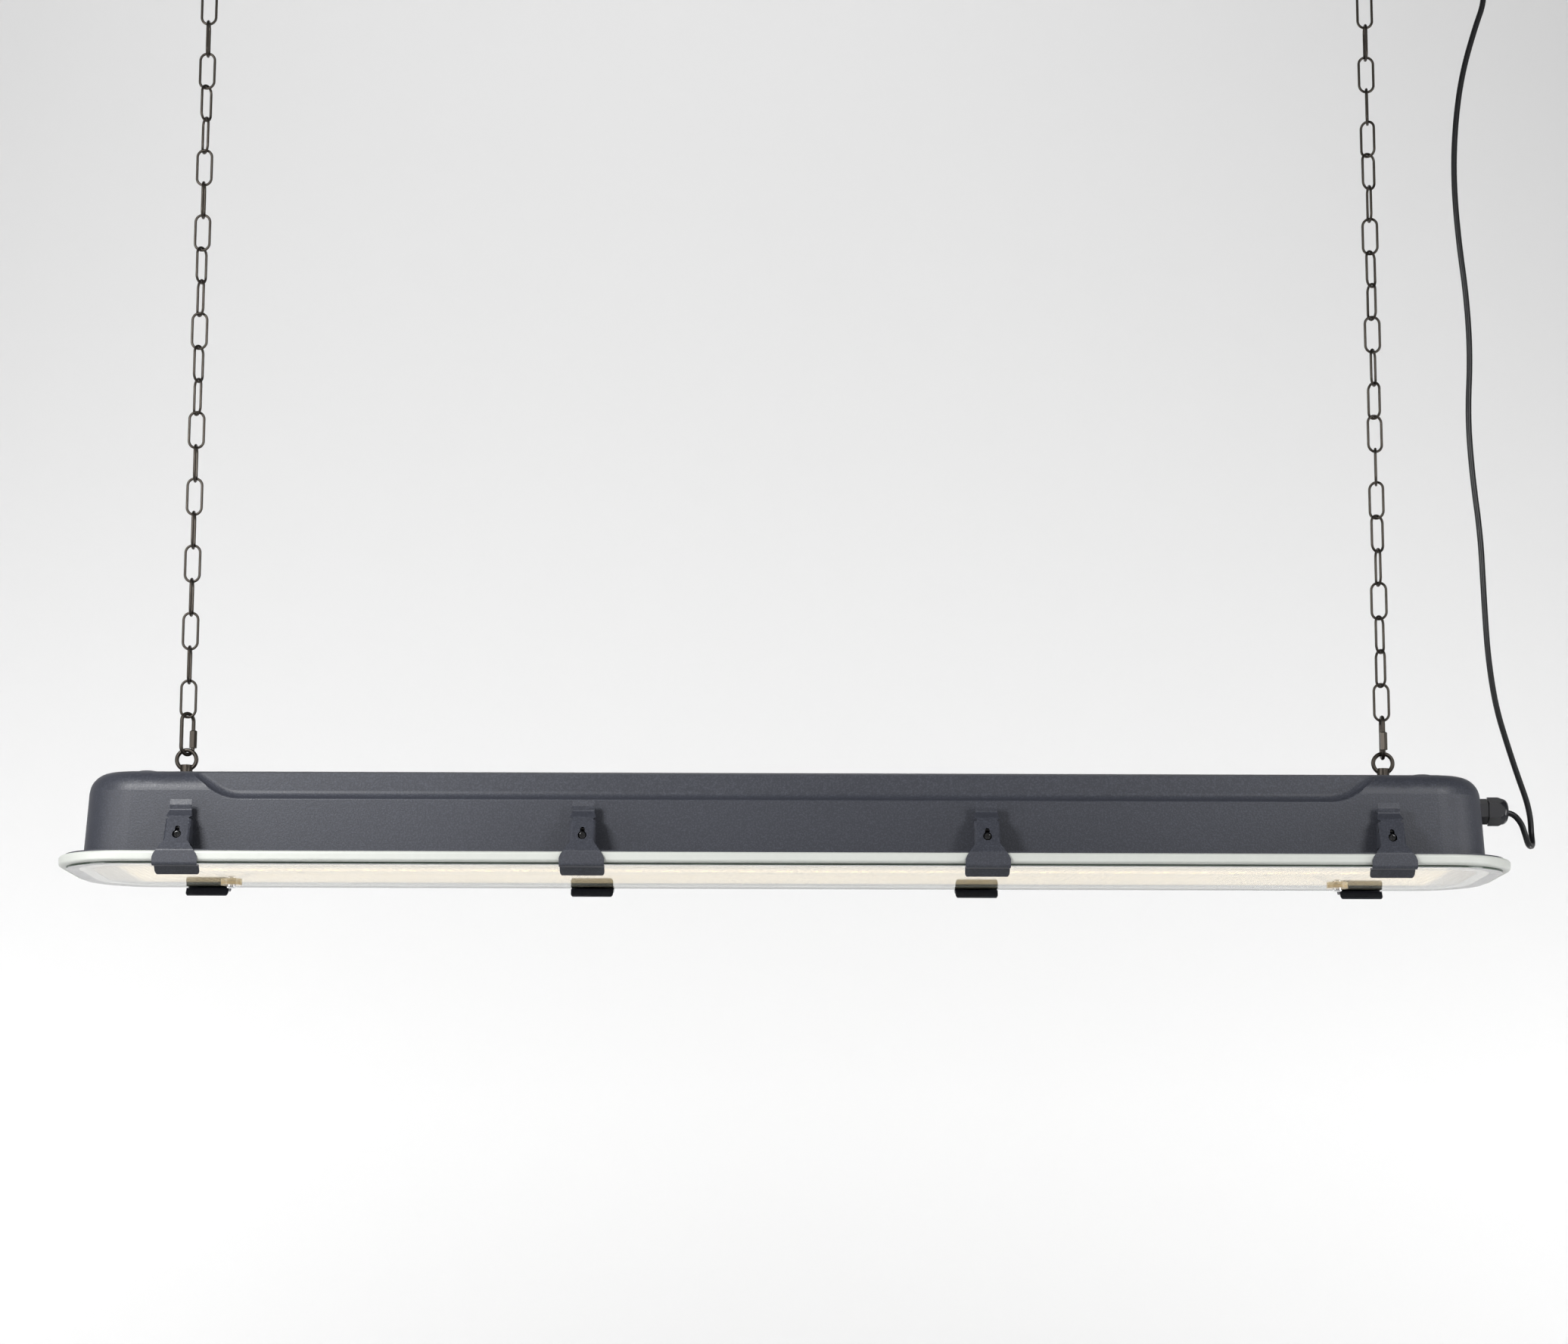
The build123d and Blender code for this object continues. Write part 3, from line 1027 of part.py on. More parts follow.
def driver_spots():
    """Plan places of the two driver screws."""
    reach = (DRIVER_LENGTH + DRIVER_FOOT_LENGTH) / 2
    return [(driver_x - reach, 0.0), (driver_x + reach, 0.0)]


def led_driver():
    """Driver case with a screw foot at each end, and its screws."""
    case = Pos(driver_x, 0, tray_top_z + DRIVER_HEIGHT / 2) * Box(DRIVER_LENGTH, DRIVER_WIDTH, DRIVER_HEIGHT)
    case = fillet(case.edges().filter_by(Axis.X), DRIVER_EDGE)
    foot_length = DRIVER_LENGTH + 2 * DRIVER_FOOT_LENGTH
    case += Pos(driver_x, 0, tray_top_z + DRIVER_FOOT_HEIGHT / 2) * Box(
        foot_length, DRIVER_WIDTH - 4 * DRIVER_EDGE, DRIVER_FOOT_HEIGHT)
    screws = []
    for x, y in driver_spots():
        case -= upright(DRIVER_SCREW_DIAMETER, 4 * DRIVER_FOOT_HEIGHT, x, y, tray_top_z - DRIVER_FOOT_HEIGHT)
        head_z = tray_top_z + DRIVER_FOOT_HEIGHT
        screw = upright(2 * DRIVER_SCREW_DIAMETER, DRIVER_SCREW_DIAMETER / 2, x, y, head_z)
        shank_z = head_z - DRIVER_SCREW_LENGTH
        screws.append(screw + upright(DRIVER_SCREW_DIAMETER, DRIVER_SCREW_LENGTH, x, y, shank_z))
    return case, Compound(children=screws)


def terminal_rows():
    """Offsets of the terminal poles across the block."""
    return [(index - (TERMINAL_POLES - 1) / 2) * TERMINAL_PITCH for index in range(TERMINAL_POLES)]


def terminal_block():
    """Connector block beside the driver, and its clamping screws."""
    block = Pos(terminal_x, 0, tray_top_z + TERMINAL_HEIGHT / 2) * Box(
        TERMINAL_LENGTH, TERMINAL_WIDTH, TERMINAL_HEIGHT)
    screws = []
    top_z = tray_top_z + TERMINAL_HEIGHT
    for y in terminal_rows():
        for reach in (-TERMINAL_LENGTH / 4, TERMINAL_LENGTH / 4):
            spot = (TERMINAL_SCREW_DIAMETER, TERMINAL_SCREW_DEPTH, terminal_x + reach, y)
            block -= upright(*spot, top_z - TERMINAL_SCREW_DEPTH)
            screws.append(upright(TERMINAL_SCREW_DIAMETER, TERMINAL_SCREW_DEPTH / 2, terminal_x + reach, y,
                                  top_z - TERMINAL_SCREW_DEPTH))
    return block, Compound(children=screws)


def earth_stud():
    """Earth stud welded under the housing top, with its nut."""
    stud = upright(EARTH_STUD_DIAMETER, EARTH_STUD_LENGTH, earth_x, earth_y, inner_top_z - EARTH_STUD_LENGTH)
    nut_z = inner_top_z - EARTH_STUD_LENGTH / 2 - EARTH_NUT_HEIGHT
    nut = hex_upright(EARTH_NUT_ACROSS_FLATS, EARTH_NUT_HEIGHT, earth_x, earth_y, nut_z)
    return Compound(children=[stud, nut - upright(
        EARTH_STUD_DIAMETER, EARTH_STUD_LENGTH, earth_x, earth_y, inner_top_z - EARTH_STUD_LENGTH)])


def bent_lead(points):
    """Insulated lead along straight runs with rounded corners."""
    return swept_bar(FilletPolyline(*points, radius=LEAD_BEND), LEAD_DIAMETER)


def inner_leads():
    """Three leads from the sheathed cable end to the terminal block."""
    tail_x = gland_face_x - GLAND_THREAD_LENGTH - CABLE_TAIL_INSIDE
    block_x = terminal_x + TERMINAL_LENGTH / 2
    spread_x = tail_x - 3 * LEAD_BEND
    meet_x = block_x + 3 * LEAD_BEND
    leads = []
    for index, y in enumerate(terminal_rows()):
        start_y = (index - (TERMINAL_POLES - 1) / 2) * LEAD_SPREAD
        leads.append(bent_lead([
            (tail_x, start_y, gland_z),
            (spread_x, start_y, gland_z),
            (meet_x, y, tray_top_z + LEAD_HEIGHT),
            (block_x, y, tray_top_z + LEAD_HEIGHT),
        ]))
    return Compound(children=leads)


def driver_leads():
    """Two leads from the terminal block to the driver."""
    start_x = terminal_x - TERMINAL_LENGTH / 2
    end_x = driver_x + DRIVER_LENGTH / 2
    leads = []
    for y in (terminal_rows()[0], terminal_rows()[-1]):
        leads.append(along_x(LEAD_DIAMETER, start_x - end_x, end_x, y, tray_top_z + LEAD_HEIGHT))
    return Compound(children=leads)


def save(name, shape):
    """Write one node."""
    export_step(shape, f"parts/{name}.step")


def main():
    os.makedirs("parts", exist_ok=True)
    for name, side in SIDES.items():
        save(f"ceiling_hook_{name}", ceiling_hook(side))
        link, sleeve = quick_link(name)
        save(f"quick_link_{name}", link)
        save(f"quick_link_sleeve_{name}", sleeve)
        save(f"eye_bolt_{name}", eye_bolt(side))
    save("chain_left", chain(SIDES["left"], LEFT_SLIPS))
    save("chain_right", chain(SIDES["right"], RIGHT_SLIPS))
    save("eye_bolt_washers", eye_washers())
    save("eye_bolt_nuts", eye_nuts())
    save("ceiling_rose", ceiling_rose())
    save("rose_strap", rose_strap())
    save("rose_side_screws", rose_screws())
    grip, grip_nut = rose_grip()
    save("rose_cord_grip", grip)
    save("rose_grip_nut", grip_nut)
    save("housing", housing())
    save("rim_gasket", rim_gasket())
    save("glass_cover", glass_cover())
    pillars, washers, screws = glass_fixings()
    save("glass_pillars", pillars)
    save("glass_washers", washers)
    save("glass_screws", screws)
    plugs, plug_nuts = blanking_plugs()
    save("blanking_plugs", plugs)
    save("blanking_plug_nuts", plug_nuts)
    latch = clip_latch()
    for name, place in clip_places():
        save(f"clip_{name}", place * latch)
    bracket = clip_bracket()
    shared = []
    for name, place in clip_places():
        if name.endswith(str(CLIPS_PER_SIDE)):
            save(f"clip_bracket_{name}", place * bracket)
        else:
            shared.append(place * bracket)
    save("clip_brackets", Compound(children=shared))
    groups = {
        "clip_pins": clip_pin(),
        "clip_springs": clip_spring(),
        "clip_screws": clip_screw(),
        "clip_nuts": clip_nut(),
    }
    for name, piece in groups.items():
        save(name, Compound(children=[place * piece for _, place in clip_places()]))
    body, seal, locknut = gland()
    save("gland_body", body)
    save("gland_seal", seal)
    save("gland_locknut", locknut)
    save("gland_nut", gland_nut())
    save("supply_cable", supply_cable())
    save("cable_tail", cable_tail())
    save("gear_tray", gear_tray())
    tray_pillars, tray_screws = tray_fixings()
    save("tray_pillars", tray_pillars)
    save("tray_screws", tray_screws)
    save("led_board_front", led_board(-led_board_y))
    save("led_board_rear", led_board(led_board_y))
    save("led_chips", led_chips())
    driver, driver_screws = led_driver()
    save("led_driver", driver)
    save("driver_screws", driver_screws)
    block, block_screws = terminal_block()
    save("terminal_block", block)
    save("terminal_screws", block_screws)
    save("earth_stud", earth_stud())
    save("inner_leads", inner_leads())
    save("driver_leads", driver_leads())


if __name__ == "__main__":
    main()
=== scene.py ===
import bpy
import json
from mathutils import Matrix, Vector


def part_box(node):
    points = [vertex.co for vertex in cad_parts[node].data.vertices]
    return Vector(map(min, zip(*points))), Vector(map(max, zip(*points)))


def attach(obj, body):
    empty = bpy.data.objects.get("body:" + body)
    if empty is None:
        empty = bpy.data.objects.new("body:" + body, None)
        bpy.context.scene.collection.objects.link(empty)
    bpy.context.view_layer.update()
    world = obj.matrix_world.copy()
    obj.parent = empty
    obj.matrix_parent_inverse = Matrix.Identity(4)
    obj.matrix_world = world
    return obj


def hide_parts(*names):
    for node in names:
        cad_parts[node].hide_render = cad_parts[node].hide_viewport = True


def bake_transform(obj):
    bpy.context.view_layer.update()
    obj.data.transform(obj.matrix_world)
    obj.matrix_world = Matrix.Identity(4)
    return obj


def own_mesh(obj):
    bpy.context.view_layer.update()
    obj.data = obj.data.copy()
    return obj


bl_info = {
    "name": "Linear Pendant Lamp",
    "version": (1, 0, 0),
    "blender": (4, 5, 0),
    "location": "View3D > Sidebar > Lamp",
    "description": "Dresses the packed pendant lamp with its glass, cable, springs and finishes",
    "category": "Object",
}

import json
import math

import bmesh
import bpy
from mathutils import Matrix, Vector

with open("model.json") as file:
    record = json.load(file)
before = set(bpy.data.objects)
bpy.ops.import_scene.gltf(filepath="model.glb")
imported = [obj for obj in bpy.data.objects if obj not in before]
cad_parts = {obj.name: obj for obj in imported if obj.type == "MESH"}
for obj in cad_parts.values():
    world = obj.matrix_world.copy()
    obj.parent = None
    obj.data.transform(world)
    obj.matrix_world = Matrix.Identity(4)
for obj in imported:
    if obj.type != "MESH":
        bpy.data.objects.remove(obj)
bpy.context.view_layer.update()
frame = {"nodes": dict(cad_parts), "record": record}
NODES = frame["nodes"]
RECORD = frame["record"]
LAMP = "lamp"
CLIP_NAMES = [f"{side}_{number}" for side in ("front", "rear") for number in (1, 2, 3, 4)]
GLASS_LOW, GLASS_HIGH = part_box("glass_cover")
HOUSING_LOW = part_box("housing")[0]

# How far below the flange the middle of the mouth is taken
MOUTH_DROP = 0.003
# How much the long way counts when inner faces are told from outer ones
LENGTH_SHARE = 0.05
# Free cable from the gland mouth up to the ceiling rose, in metres
CABLE_ROUTE = (
    (0.5986, 0.0000, -0.7682),
    (0.6106, 0.0000, -0.7682),
    (0.6191, 0.0010, -0.7767),
    (0.6232, 0.0045, -0.7873),
    (0.6272, 0.0120, -0.7959),
    (0.6330, 0.0225, -0.7947),
    (0.6332, 0.0283, -0.7840),
    (0.6330, 0.0286, -0.7705),
    (0.6302, 0.0280, -0.7555),
    (0.6232, 0.0260, -0.7360),
    (0.6148, 0.0230, -0.7105),
    (0.6042, 0.0190, -0.6755),
    (0.5982, 0.0160, -0.6315),
    (0.5962, 0.0150, -0.5805),
    (0.5949, 0.0150, -0.5285),
    (0.5894, 0.0150, -0.4765),
    (0.5868, 0.0150, -0.4235),
    (0.5906, 0.0150, -0.3705),
    (0.5888, 0.0150, -0.3175),
    (0.5832, 0.0150, -0.2665),
    (0.5804, 0.0150, -0.2135),
    (0.5828, 0.0150, -0.1655),
    (0.5900, 0.0150, -0.1175),
    (0.6032, 0.0150, -0.0735),
    (0.6120, 0.0150, -0.0500),
    (0.6120, 0.0150, -0.0350),
)

# Middle line of a leaf spring from the clip's pin: reach outwards and rise, in metres
SPRING_LINE = ((-0.01885, -0.0113), (-0.01885, -0.0010), (-0.0113, 0.0068), (-0.00285, 0.0080))
# How far each bend of a spring is rounded off, in metres
SPRING_BEND = 0.0025
# Middles of the glass screws, and the plain glass round each, in metres
GLASS_SCREWS = ((-0.471, 0.05), (0.471, 0.05))
PLAIN_RADIUS = 0.008
# Glow of the light source, and painted light on the boards and tray that it lights: warm emission that stands
# in for the light falling on them
SOURCE_GLOW = 2.5
BOARD_PAINTED_LIGHT = 0.8
TRAY_PAINTED_LIGHT = 0.36
# Floor and wall in one sweep, in metres
SWEEP_HALF_WIDTH = 9.0
SWEEP_FRONT = -7.0
SWEEP_CURVE = 1.0
WALL_HEIGHT = 5.0
# Camera place in metres, and its angles in radians
CAMERA_PLACE = (-0.0049, -3.0298, -1.1551)
CAMERA_PITCH = 0.1649
CAMERA_YAW = 0.0013
CAMERA_ROLL = 0.0029
# Soft lights: name, place, target, width and height in metres, power in watts
LIGHTS = (
    ("front_box", (0.0, -4.4, -0.95), (0.0, 0.0, -0.8), 4.0, 1.2, 5.8),
    ("key_left", (-0.85, -1.1, -0.15), (-0.5, 0.0, -0.78), 0.35, 0.35, 17.5),
    ("key_right", (1.0, -1.2, -0.20), (0.5, 0.0, -0.78), 0.35, 0.35, 8.0),
    ("side_left", (-1.8, -1.0, -0.9), (-0.58, 0.0, -0.79), 0.9, 0.9, 8.5),
    ("side_right", (1.9, -0.7, -1.0), (0.58, 0.0, -0.79), 0.7, 0.9, 10.0),
    ("wall_left", (-1.9, 0.9, -1.7), (-1.2, 2.4, -0.1), 1.0, 0.4, 17.0),
    ("wall_right", (1.9, 0.9, -1.7), (1.2, 2.4, -0.1), 1.0, 0.4, 16.5),
    ("wall_low", (0.1, 0.7, -1.8), (0.1, 2.4, -0.3), 7.0, 0.4, 32.5),
)
# Spot that washes the wall from above
WASH_PLACE = (-0.3, 0.2, 2.8)
WASH_AIM = (0.1, 2.2, -2.0)
WASH_POWER = 165.0


class LampSizes(bpy.types.PropertyGroup):
    prism_pitch: bpy.props.FloatProperty(
        name="Prism pitch", description="Length of one glass diamond along the lamp", default=0.0065,
        unit="LENGTH")
    prism_height: bpy.props.FloatProperty(
        name="Prism height", description="Height of the glass diamonds", default=0.0009, unit="LENGTH")
    prism_length: bpy.props.FloatProperty(
        name="Prism field length", description="Length of the patterned field", default=1.146, unit="LENGTH")
    prism_width: bpy.props.FloatProperty(
        name="Prism field width", description="Width of the patterned field", default=0.142, unit="LENGTH")
    prism_corner: bpy.props.FloatProperty(
        name="Prism field corner", description="Corner radius of the patterned field", default=0.033,
        unit="LENGTH")
    glass_corner: bpy.props.FloatProperty(
        name="Glass corner", description="Corner radius of the glass", default=0.0545, unit="LENGTH")
    cable_diameter: bpy.props.FloatProperty(
        name="Cable diameter", description="Diameter of the supply cable", default=0.005, unit="LENGTH")
    spring_width: bpy.props.FloatProperty(
        name="Spring width", description="Width of each clip's leaf spring", default=0.008, unit="LENGTH")
    spring_sheet: bpy.props.FloatProperty(
        name="Spring sheet", description="Thickness of each clip's leaf spring", default=0.0005,
        unit="LENGTH")


class LampColours(bpy.types.PropertyGroup):
    paint: bpy.props.FloatVectorProperty(
        name="Powder coat", description="Housing and clips", subtype="COLOR", default=(0.040, 0.043, 0.055))
    chain: bpy.props.FloatVectorProperty(
        name="Chain", description="Chain, links and eyes", subtype="COLOR", default=(0.017, 0.016, 0.017))
    gasket: bpy.props.FloatVectorProperty(
        name="Gasket", description="Silicone rim", subtype="COLOR", default=(0.640, 0.660, 0.620))
    glass: bpy.props.FloatVectorProperty(
        name="Glass", description="Body tint of the glass", subtype="COLOR", default=(0.95, 0.97, 0.94))
    glass_edge: bpy.props.FloatVectorProperty(
        name="Glass edge", description="Green of the cut edge", subtype="COLOR", default=(0.07, 0.10, 0.075))
    nylon: bpy.props.FloatVectorProperty(
        name="Nylon", description="Gland and cable", subtype="COLOR", default=(0.012, 0.012, 0.013))
    light: bpy.props.FloatVectorProperty(
        name="Light", description="Colour of the light source", subtype="COLOR", default=(1.0, 0.75, 0.42))


class LampStage(bpy.types.PropertyGroup):
    wall_distance: bpy.props.FloatProperty(
        name="Wall distance", description="From the lamp to the wall behind it", default=2.4, unit="LENGTH")
    floor_height: bpy.props.FloatProperty(
        name="Floor height", description="Height of the floor", default=-1.9, unit="LENGTH")
    lens: bpy.props.FloatProperty(name="Lens", description="Focal length in millimetres", default=83.34)
    wall_tone: bpy.props.FloatVectorProperty(
        name="Wall", description="Floor and wall", subtype="COLOR", default=(0.80, 0.80, 0.80))


def sizes():
    return bpy.context.scene.lamp_sizes


def colours():
    return bpy.context.scene.lamp_colours


def stage_settings():
    return bpy.context.scene.lamp_stage


def grain_group():
    """Shader group: fine grain that varies colour, roughness and height."""
    name = "surface_grain"
    if name in bpy.data.node_groups:
        return bpy.data.node_groups[name]
    group = bpy.data.node_groups.new(name, "ShaderNodeTree")
    face = group.interface
    for label, kind, value in (
            ("Colour", "NodeSocketColor", (0.5, 0.5, 0.5, 1.0)),
            ("Fleck", "NodeSocketColor", (0.5, 0.5, 0.5, 1.0)),
            ("Grain Scale", "NodeSocketFloat", 900.0),
            ("Fleck Amount", "NodeSocketFloat", 0.3),
            ("Cloud Scale", "NodeSocketFloat", 14.0),
            ("Cloud Amount", "NodeSocketFloat", 0.1),
            ("Roughness", "NodeSocketFloat", 0.5),
            ("Roughness Spread", "NodeSocketFloat", 0.1)):
        socket = face.new_socket(name=label, in_out="INPUT", socket_type=kind)
        socket.default_value = value
    for label, kind in (
            ("Colour", "NodeSocketColor"),
            ("Roughness", "NodeSocketFloat"),
            ("Height", "NodeSocketFloat")):
        face.new_socket(name=label, in_out="OUTPUT", socket_type=kind)
    nodes, links = group.nodes, group.links
    inside = nodes.new("NodeGroupInput")
    out = nodes.new("NodeGroupOutput")
    where = nodes.new("ShaderNodeTexCoord")
    grain = nodes.new("ShaderNodeTexNoise")
    grain.inputs["Detail"].default_value = 3.0
    cloud = nodes.new("ShaderNodeTexNoise")
    cloud.inputs["Detail"].default_value = 2.0
    for texture, scale in ((grain, "Grain Scale"), (cloud, "Cloud Scale")):
        links.new(where.outputs["Object"], texture.inputs["Vector"])
        links.new(inside.outputs[scale], texture.inputs["Scale"])
    flecks = nodes.new("ShaderNodeMapRange")
    flecks.inputs["From Min"].default_value = 0.45
    flecks.inputs["From Max"].default_value = 0.75
    links.new(grain.outputs["Fac"], flecks.inputs["Value"])
    share = nodes.new("ShaderNodeMath")
    share.operation = "MULTIPLY"
    links.new(flecks.outputs["Result"], share.inputs[0])
    links.new(inside.outputs["Fleck Amount"], share.inputs[1])
    mix = nodes.new("ShaderNodeMix")
    mix.data_type = "RGBA"
    links.new(share.outputs["Value"], mix.inputs["Factor"])
    links.new(inside.outputs["Colour"], mix.inputs["A"])
    links.new(inside.outputs["Fleck"], mix.inputs["B"])
    drift = nodes.new("ShaderNodeMapRange")
    drift.inputs["From Min"].default_value = 0.3
    drift.inputs["From Max"].default_value = 0.7
    drift.inputs["To Min"].default_value = -1.0
    drift.inputs["To Max"].default_value = 1.0
    links.new(cloud.outputs["Fac"], drift.inputs["Value"])
    amount = nodes.new("ShaderNodeMath")
    amount.operation = "MULTIPLY_ADD"
    amount.inputs[2].default_value = 1.0
    links.new(drift.outputs["Result"], amount.inputs[0])
    links.new(inside.outputs["Cloud Amount"], amount.inputs[1])
    shade = nodes.new("ShaderNodeVectorMath")
    shade.operation = "SCALE"
    links.new(mix.outputs["Result"], shade.inputs[0])
    links.new(amount.outputs["Value"], shade.inputs["Scale"])
    links.new(shade.outputs["Vector"], out.inputs["Colour"])
    rough = nodes.new("ShaderNodeMath")
    rough.operation = "MULTIPLY_ADD"
    centred = nodes.new("ShaderNodeMath")
    centred.operation = "SUBTRACT"
    centred.inputs[1].default_value = 0.5
    links.new(grain.outputs["Fac"], centred.inputs[0])
    links.new(centred.outputs["Value"], rough.inputs[0])
    links.new(inside.outputs["Roughness Spread"], rough.inputs[1])
    links.new(inside.outputs["Roughness"], rough.inputs[2])
    links.new(rough.outputs["Value"], out.inputs["Roughness"])
    links.new(grain.outputs["Fac"], out.inputs["Height"])
    return group


def finish(name, colour, fleck=None, grain=900.0, fleck_amount=0.25, cloud=12.0, cloud_amount=0.06,
           roughness=0.5, spread=0.12, bump=0.0, metallic=0.0, coat=0.0, specular=0.5):
    """A procedural finish built on the grain group."""
    if name in bpy.data.materials:
        return bpy.data.materials[name]
    material = bpy.data.materials.new(name)
    material.use_nodes = True
    nodes, links = material.node_tree.nodes, material.node_tree.links
    shader = nodes["Principled BSDF"]
    shader.inputs["Metallic"].default_value = metallic
    shader.inputs["Coat Weight"].default_value = coat
    shader.inputs["Coat Roughness"].default_value = 0.12
    shader.inputs["Specular IOR Level"].default_value = specular
    surface = nodes.new("ShaderNodeGroup")
    surface.node_tree = grain_group()
    surface.inputs["Colour"].default_value = (*colour, 1.0)
    surface.inputs["Fleck"].default_value = (*(fleck or colour), 1.0)
    for label, value in (
            ("Grain Scale", grain),
            ("Fleck Amount", fleck_amount),
            ("Cloud Scale", cloud),
            ("Cloud Amount", cloud_amount),
            ("Roughness", roughness),
            ("Roughness Spread", spread)):
        surface.inputs[label].default_value = value
    links.new(surface.outputs["Colour"], shader.inputs["Base Color"])
    links.new(surface.outputs["Roughness"], shader.inputs["Roughness"])
    if bump > 0.0:
        bumps = nodes.new("ShaderNodeBump")
        bumps.inputs["Strength"].default_value = bump
        bumps.inputs["Distance"].default_value = 0.0002
        links.new(surface.outputs["Height"], bumps.inputs["Height"])
        links.new(bumps.outputs["Normal"], shader.inputs["Normal"])
    return material


def coat(name):
    """Speckled powder coat."""
    paint = tuple(colours().paint)
    return finish(name, paint, tuple(min(1.0, c * 1.9) for c in paint), grain=760.0, fleck_amount=0.75,
                  cloud=5.0, cloud_amount=0.05, roughness=0.46, spread=0.3, bump=0.6)


def powder_coat():
    return coat("grey_powder_coat")


def housing_coat():
    """Grey outside and white inside: the inner faces look towards the middle of the mouth."""
    material = coat("housing_coat")
    nodes, links = material.node_tree.nodes, material.node_tree.links
    shader = nodes["Principled BSDF"]
    grey = shader.inputs["Base Color"].links[0].from_socket
    place = nodes.new("ShaderNodeTexCoord")
    from_mouth = nodes.new("ShaderNodeVectorMath")
    from_mouth.operation = "SUBTRACT"
    from_mouth.inputs[1].default_value = (0.0, 0.0, HOUSING_LOW.z - MOUTH_DROP)
    links.new(place.outputs["Object"], from_mouth.inputs[0])
    across = nodes.new("ShaderNodeVectorMath")
    across.operation = "MULTIPLY"
    across.inputs[1].default_value = (LENGTH_SHARE, 1.0, 1.0)
    links.new(from_mouth.outputs["Vector"], across.inputs[0])
    facing = nodes.new("ShaderNodeVectorMath")
    facing.operation = "DOT_PRODUCT"
    links.new(across.outputs["Vector"], facing.inputs[0])
    links.new(place.outputs["Normal"], facing.inputs[1])
    inside = nodes.new("ShaderNodeMath")
    inside.operation = "LESS_THAN"
    inside.inputs[1].default_value = 0.0
    links.new(facing.outputs["Value"], inside.inputs[0])
    mix = nodes.new("ShaderNodeMix")
    mix.data_type = "RGBA"
    mix.inputs["B"].default_value = (0.82, 0.82, 0.80, 1.0)
    links.new(inside.outputs["Value"], mix.inputs["Factor"])
    links.new(grey, mix.inputs["A"])
    links.new(mix.outputs["Result"], shader.inputs["Base Color"])
    return material


def dark_steel():
    chain = tuple(colours().chain)
    return finish("dark_steel", chain, tuple(c * 2.2 for c in chain), grain=700.0, fleck_amount=0.35,
                  cloud=60.0, cloud_amount=0.25, roughness=0.26, spread=0.2, bump=0.12,
                  metallic=0.2, specular=0.14)


def zinc_steel():
    return finish("zinc_steel", (0.55, 0.55, 0.56), (0.72, 0.71, 0.68), grain=420.0, fleck_amount=0.4,
                  cloud=30.0, cloud_amount=0.1, roughness=0.32, spread=0.2, bump=0.05, metallic=1.0)


def bright_steel():
    return finish("bright_steel", (0.72, 0.72, 0.73), (0.8, 0.8, 0.8), grain=300.0, roughness=0.14,
                  spread=0.06, metallic=1.0)


def black_screw_steel():
    return finish("black_screw_steel", (0.02, 0.02, 0.021), (0.05, 0.05, 0.05), grain=500.0, roughness=0.2,
                  spread=0.1, metallic=0.4, coat=0.4)


def silicone():
    rim = tuple(colours().gasket)
    return finish("cream_silicone", rim, tuple(min(1.0, c * 1.06) for c in rim), grain=240.0,
                  fleck_amount=0.5, cloud=7.0, cloud_amount=0.03, roughness=0.42, spread=0.12, bump=0.04)


def black_nylon():
    nylon = tuple(colours().nylon)
    return finish("black_nylon", nylon, tuple(c * 2.0 for c in nylon), grain=600.0, fleck_amount=0.3,
                  roughness=0.2, spread=0.1, bump=0.03, specular=0.22)


def cable_sheath():
    nylon = tuple(colours().nylon)
    return finish("cable_sheath", nylon, tuple(c * 1.8 for c in nylon), grain=900.0, fleck_amount=0.3,
                  roughness=0.32, spread=0.14, bump=0.05, specular=0.3)


# Washer plastic tinted amber: painted warm light, standing in for the lamp's light shining through the glass
# onto clear washers
def washer_plastic_painted_warm_light():
    return finish("washer_plastic_painted_warm_light", (0.72, 0.58, 0.36), (0.82, 0.72, 0.5), grain=160.0, fleck_amount=0.5,
                  roughness=0.2, spread=0.06, coat=0.3)


def white_sheet():
    return finish("white_sheet", (0.82, 0.81, 0.77), (0.88, 0.87, 0.84), grain=800.0, roughness=0.45,
                  bump=0.1)


def white_plastic():
    return finish("white_plastic", (0.78, 0.78, 0.75), (0.84, 0.84, 0.82), grain=500.0, roughness=0.4,
                  bump=0.06)


def white_board():
    return finish("white_board", (0.80, 0.80, 0.76), (0.86, 0.86, 0.83), grain=500.0, roughness=0.35,
                  bump=0.04)


def lead_sleeve():
    return finish("lead_sleeve", (0.16, 0.10, 0.05), (0.22, 0.16, 0.08), grain=500.0, roughness=0.4)


def light_source():
    """Yellow phosphor that glows."""
    phosphor = finish("phosphor", (0.90, 0.72, 0.32), (0.95, 0.82, 0.45), grain=600.0, roughness=0.5)
    return lit(phosphor, SOURCE_GLOW)


def lit(material, strength):
    """Adds warm emission: the light source's own glow, or painted light on a surface that the light source
    lights.
    """
    shader = material.node_tree.nodes["Principled BSDF"]
    shader.inputs["Emission Color"].default_value = (*colours().light, 1.0)
    shader.inputs["Emission Strength"].default_value = strength
    return material


def clear_glass():
    """Clear body of the glass."""
    material = bpy.data.materials.get("clear_glass")
    if material:
        return material
    material = bpy.data.materials.new("clear_glass")
    material.use_nodes = True
    nodes, links = material.node_tree.nodes, material.node_tree.links
    shader = nodes["Principled BSDF"]
    shader.inputs["Base Color"].default_value = (*colours().glass, 1.0)
    shader.inputs["Transmission Weight"].default_value = 1.0
    shader.inputs["IOR"].default_value = 1.5
    smear = nodes.new("ShaderNodeTexNoise")
    smear.inputs["Scale"].default_value = 18.0
    where = nodes.new("ShaderNodeTexCoord")
    links.new(where.outputs["Object"], smear.inputs["Vector"])
    spread = nodes.new("ShaderNodeMapRange")
    spread.inputs["To Min"].default_value = 0.02
    spread.inputs["To Max"].default_value = 0.08
    links.new(smear.outputs["Fac"], spread.inputs["Value"])
    links.new(spread.outputs["Result"], shader.inputs["Roughness"])
    return material


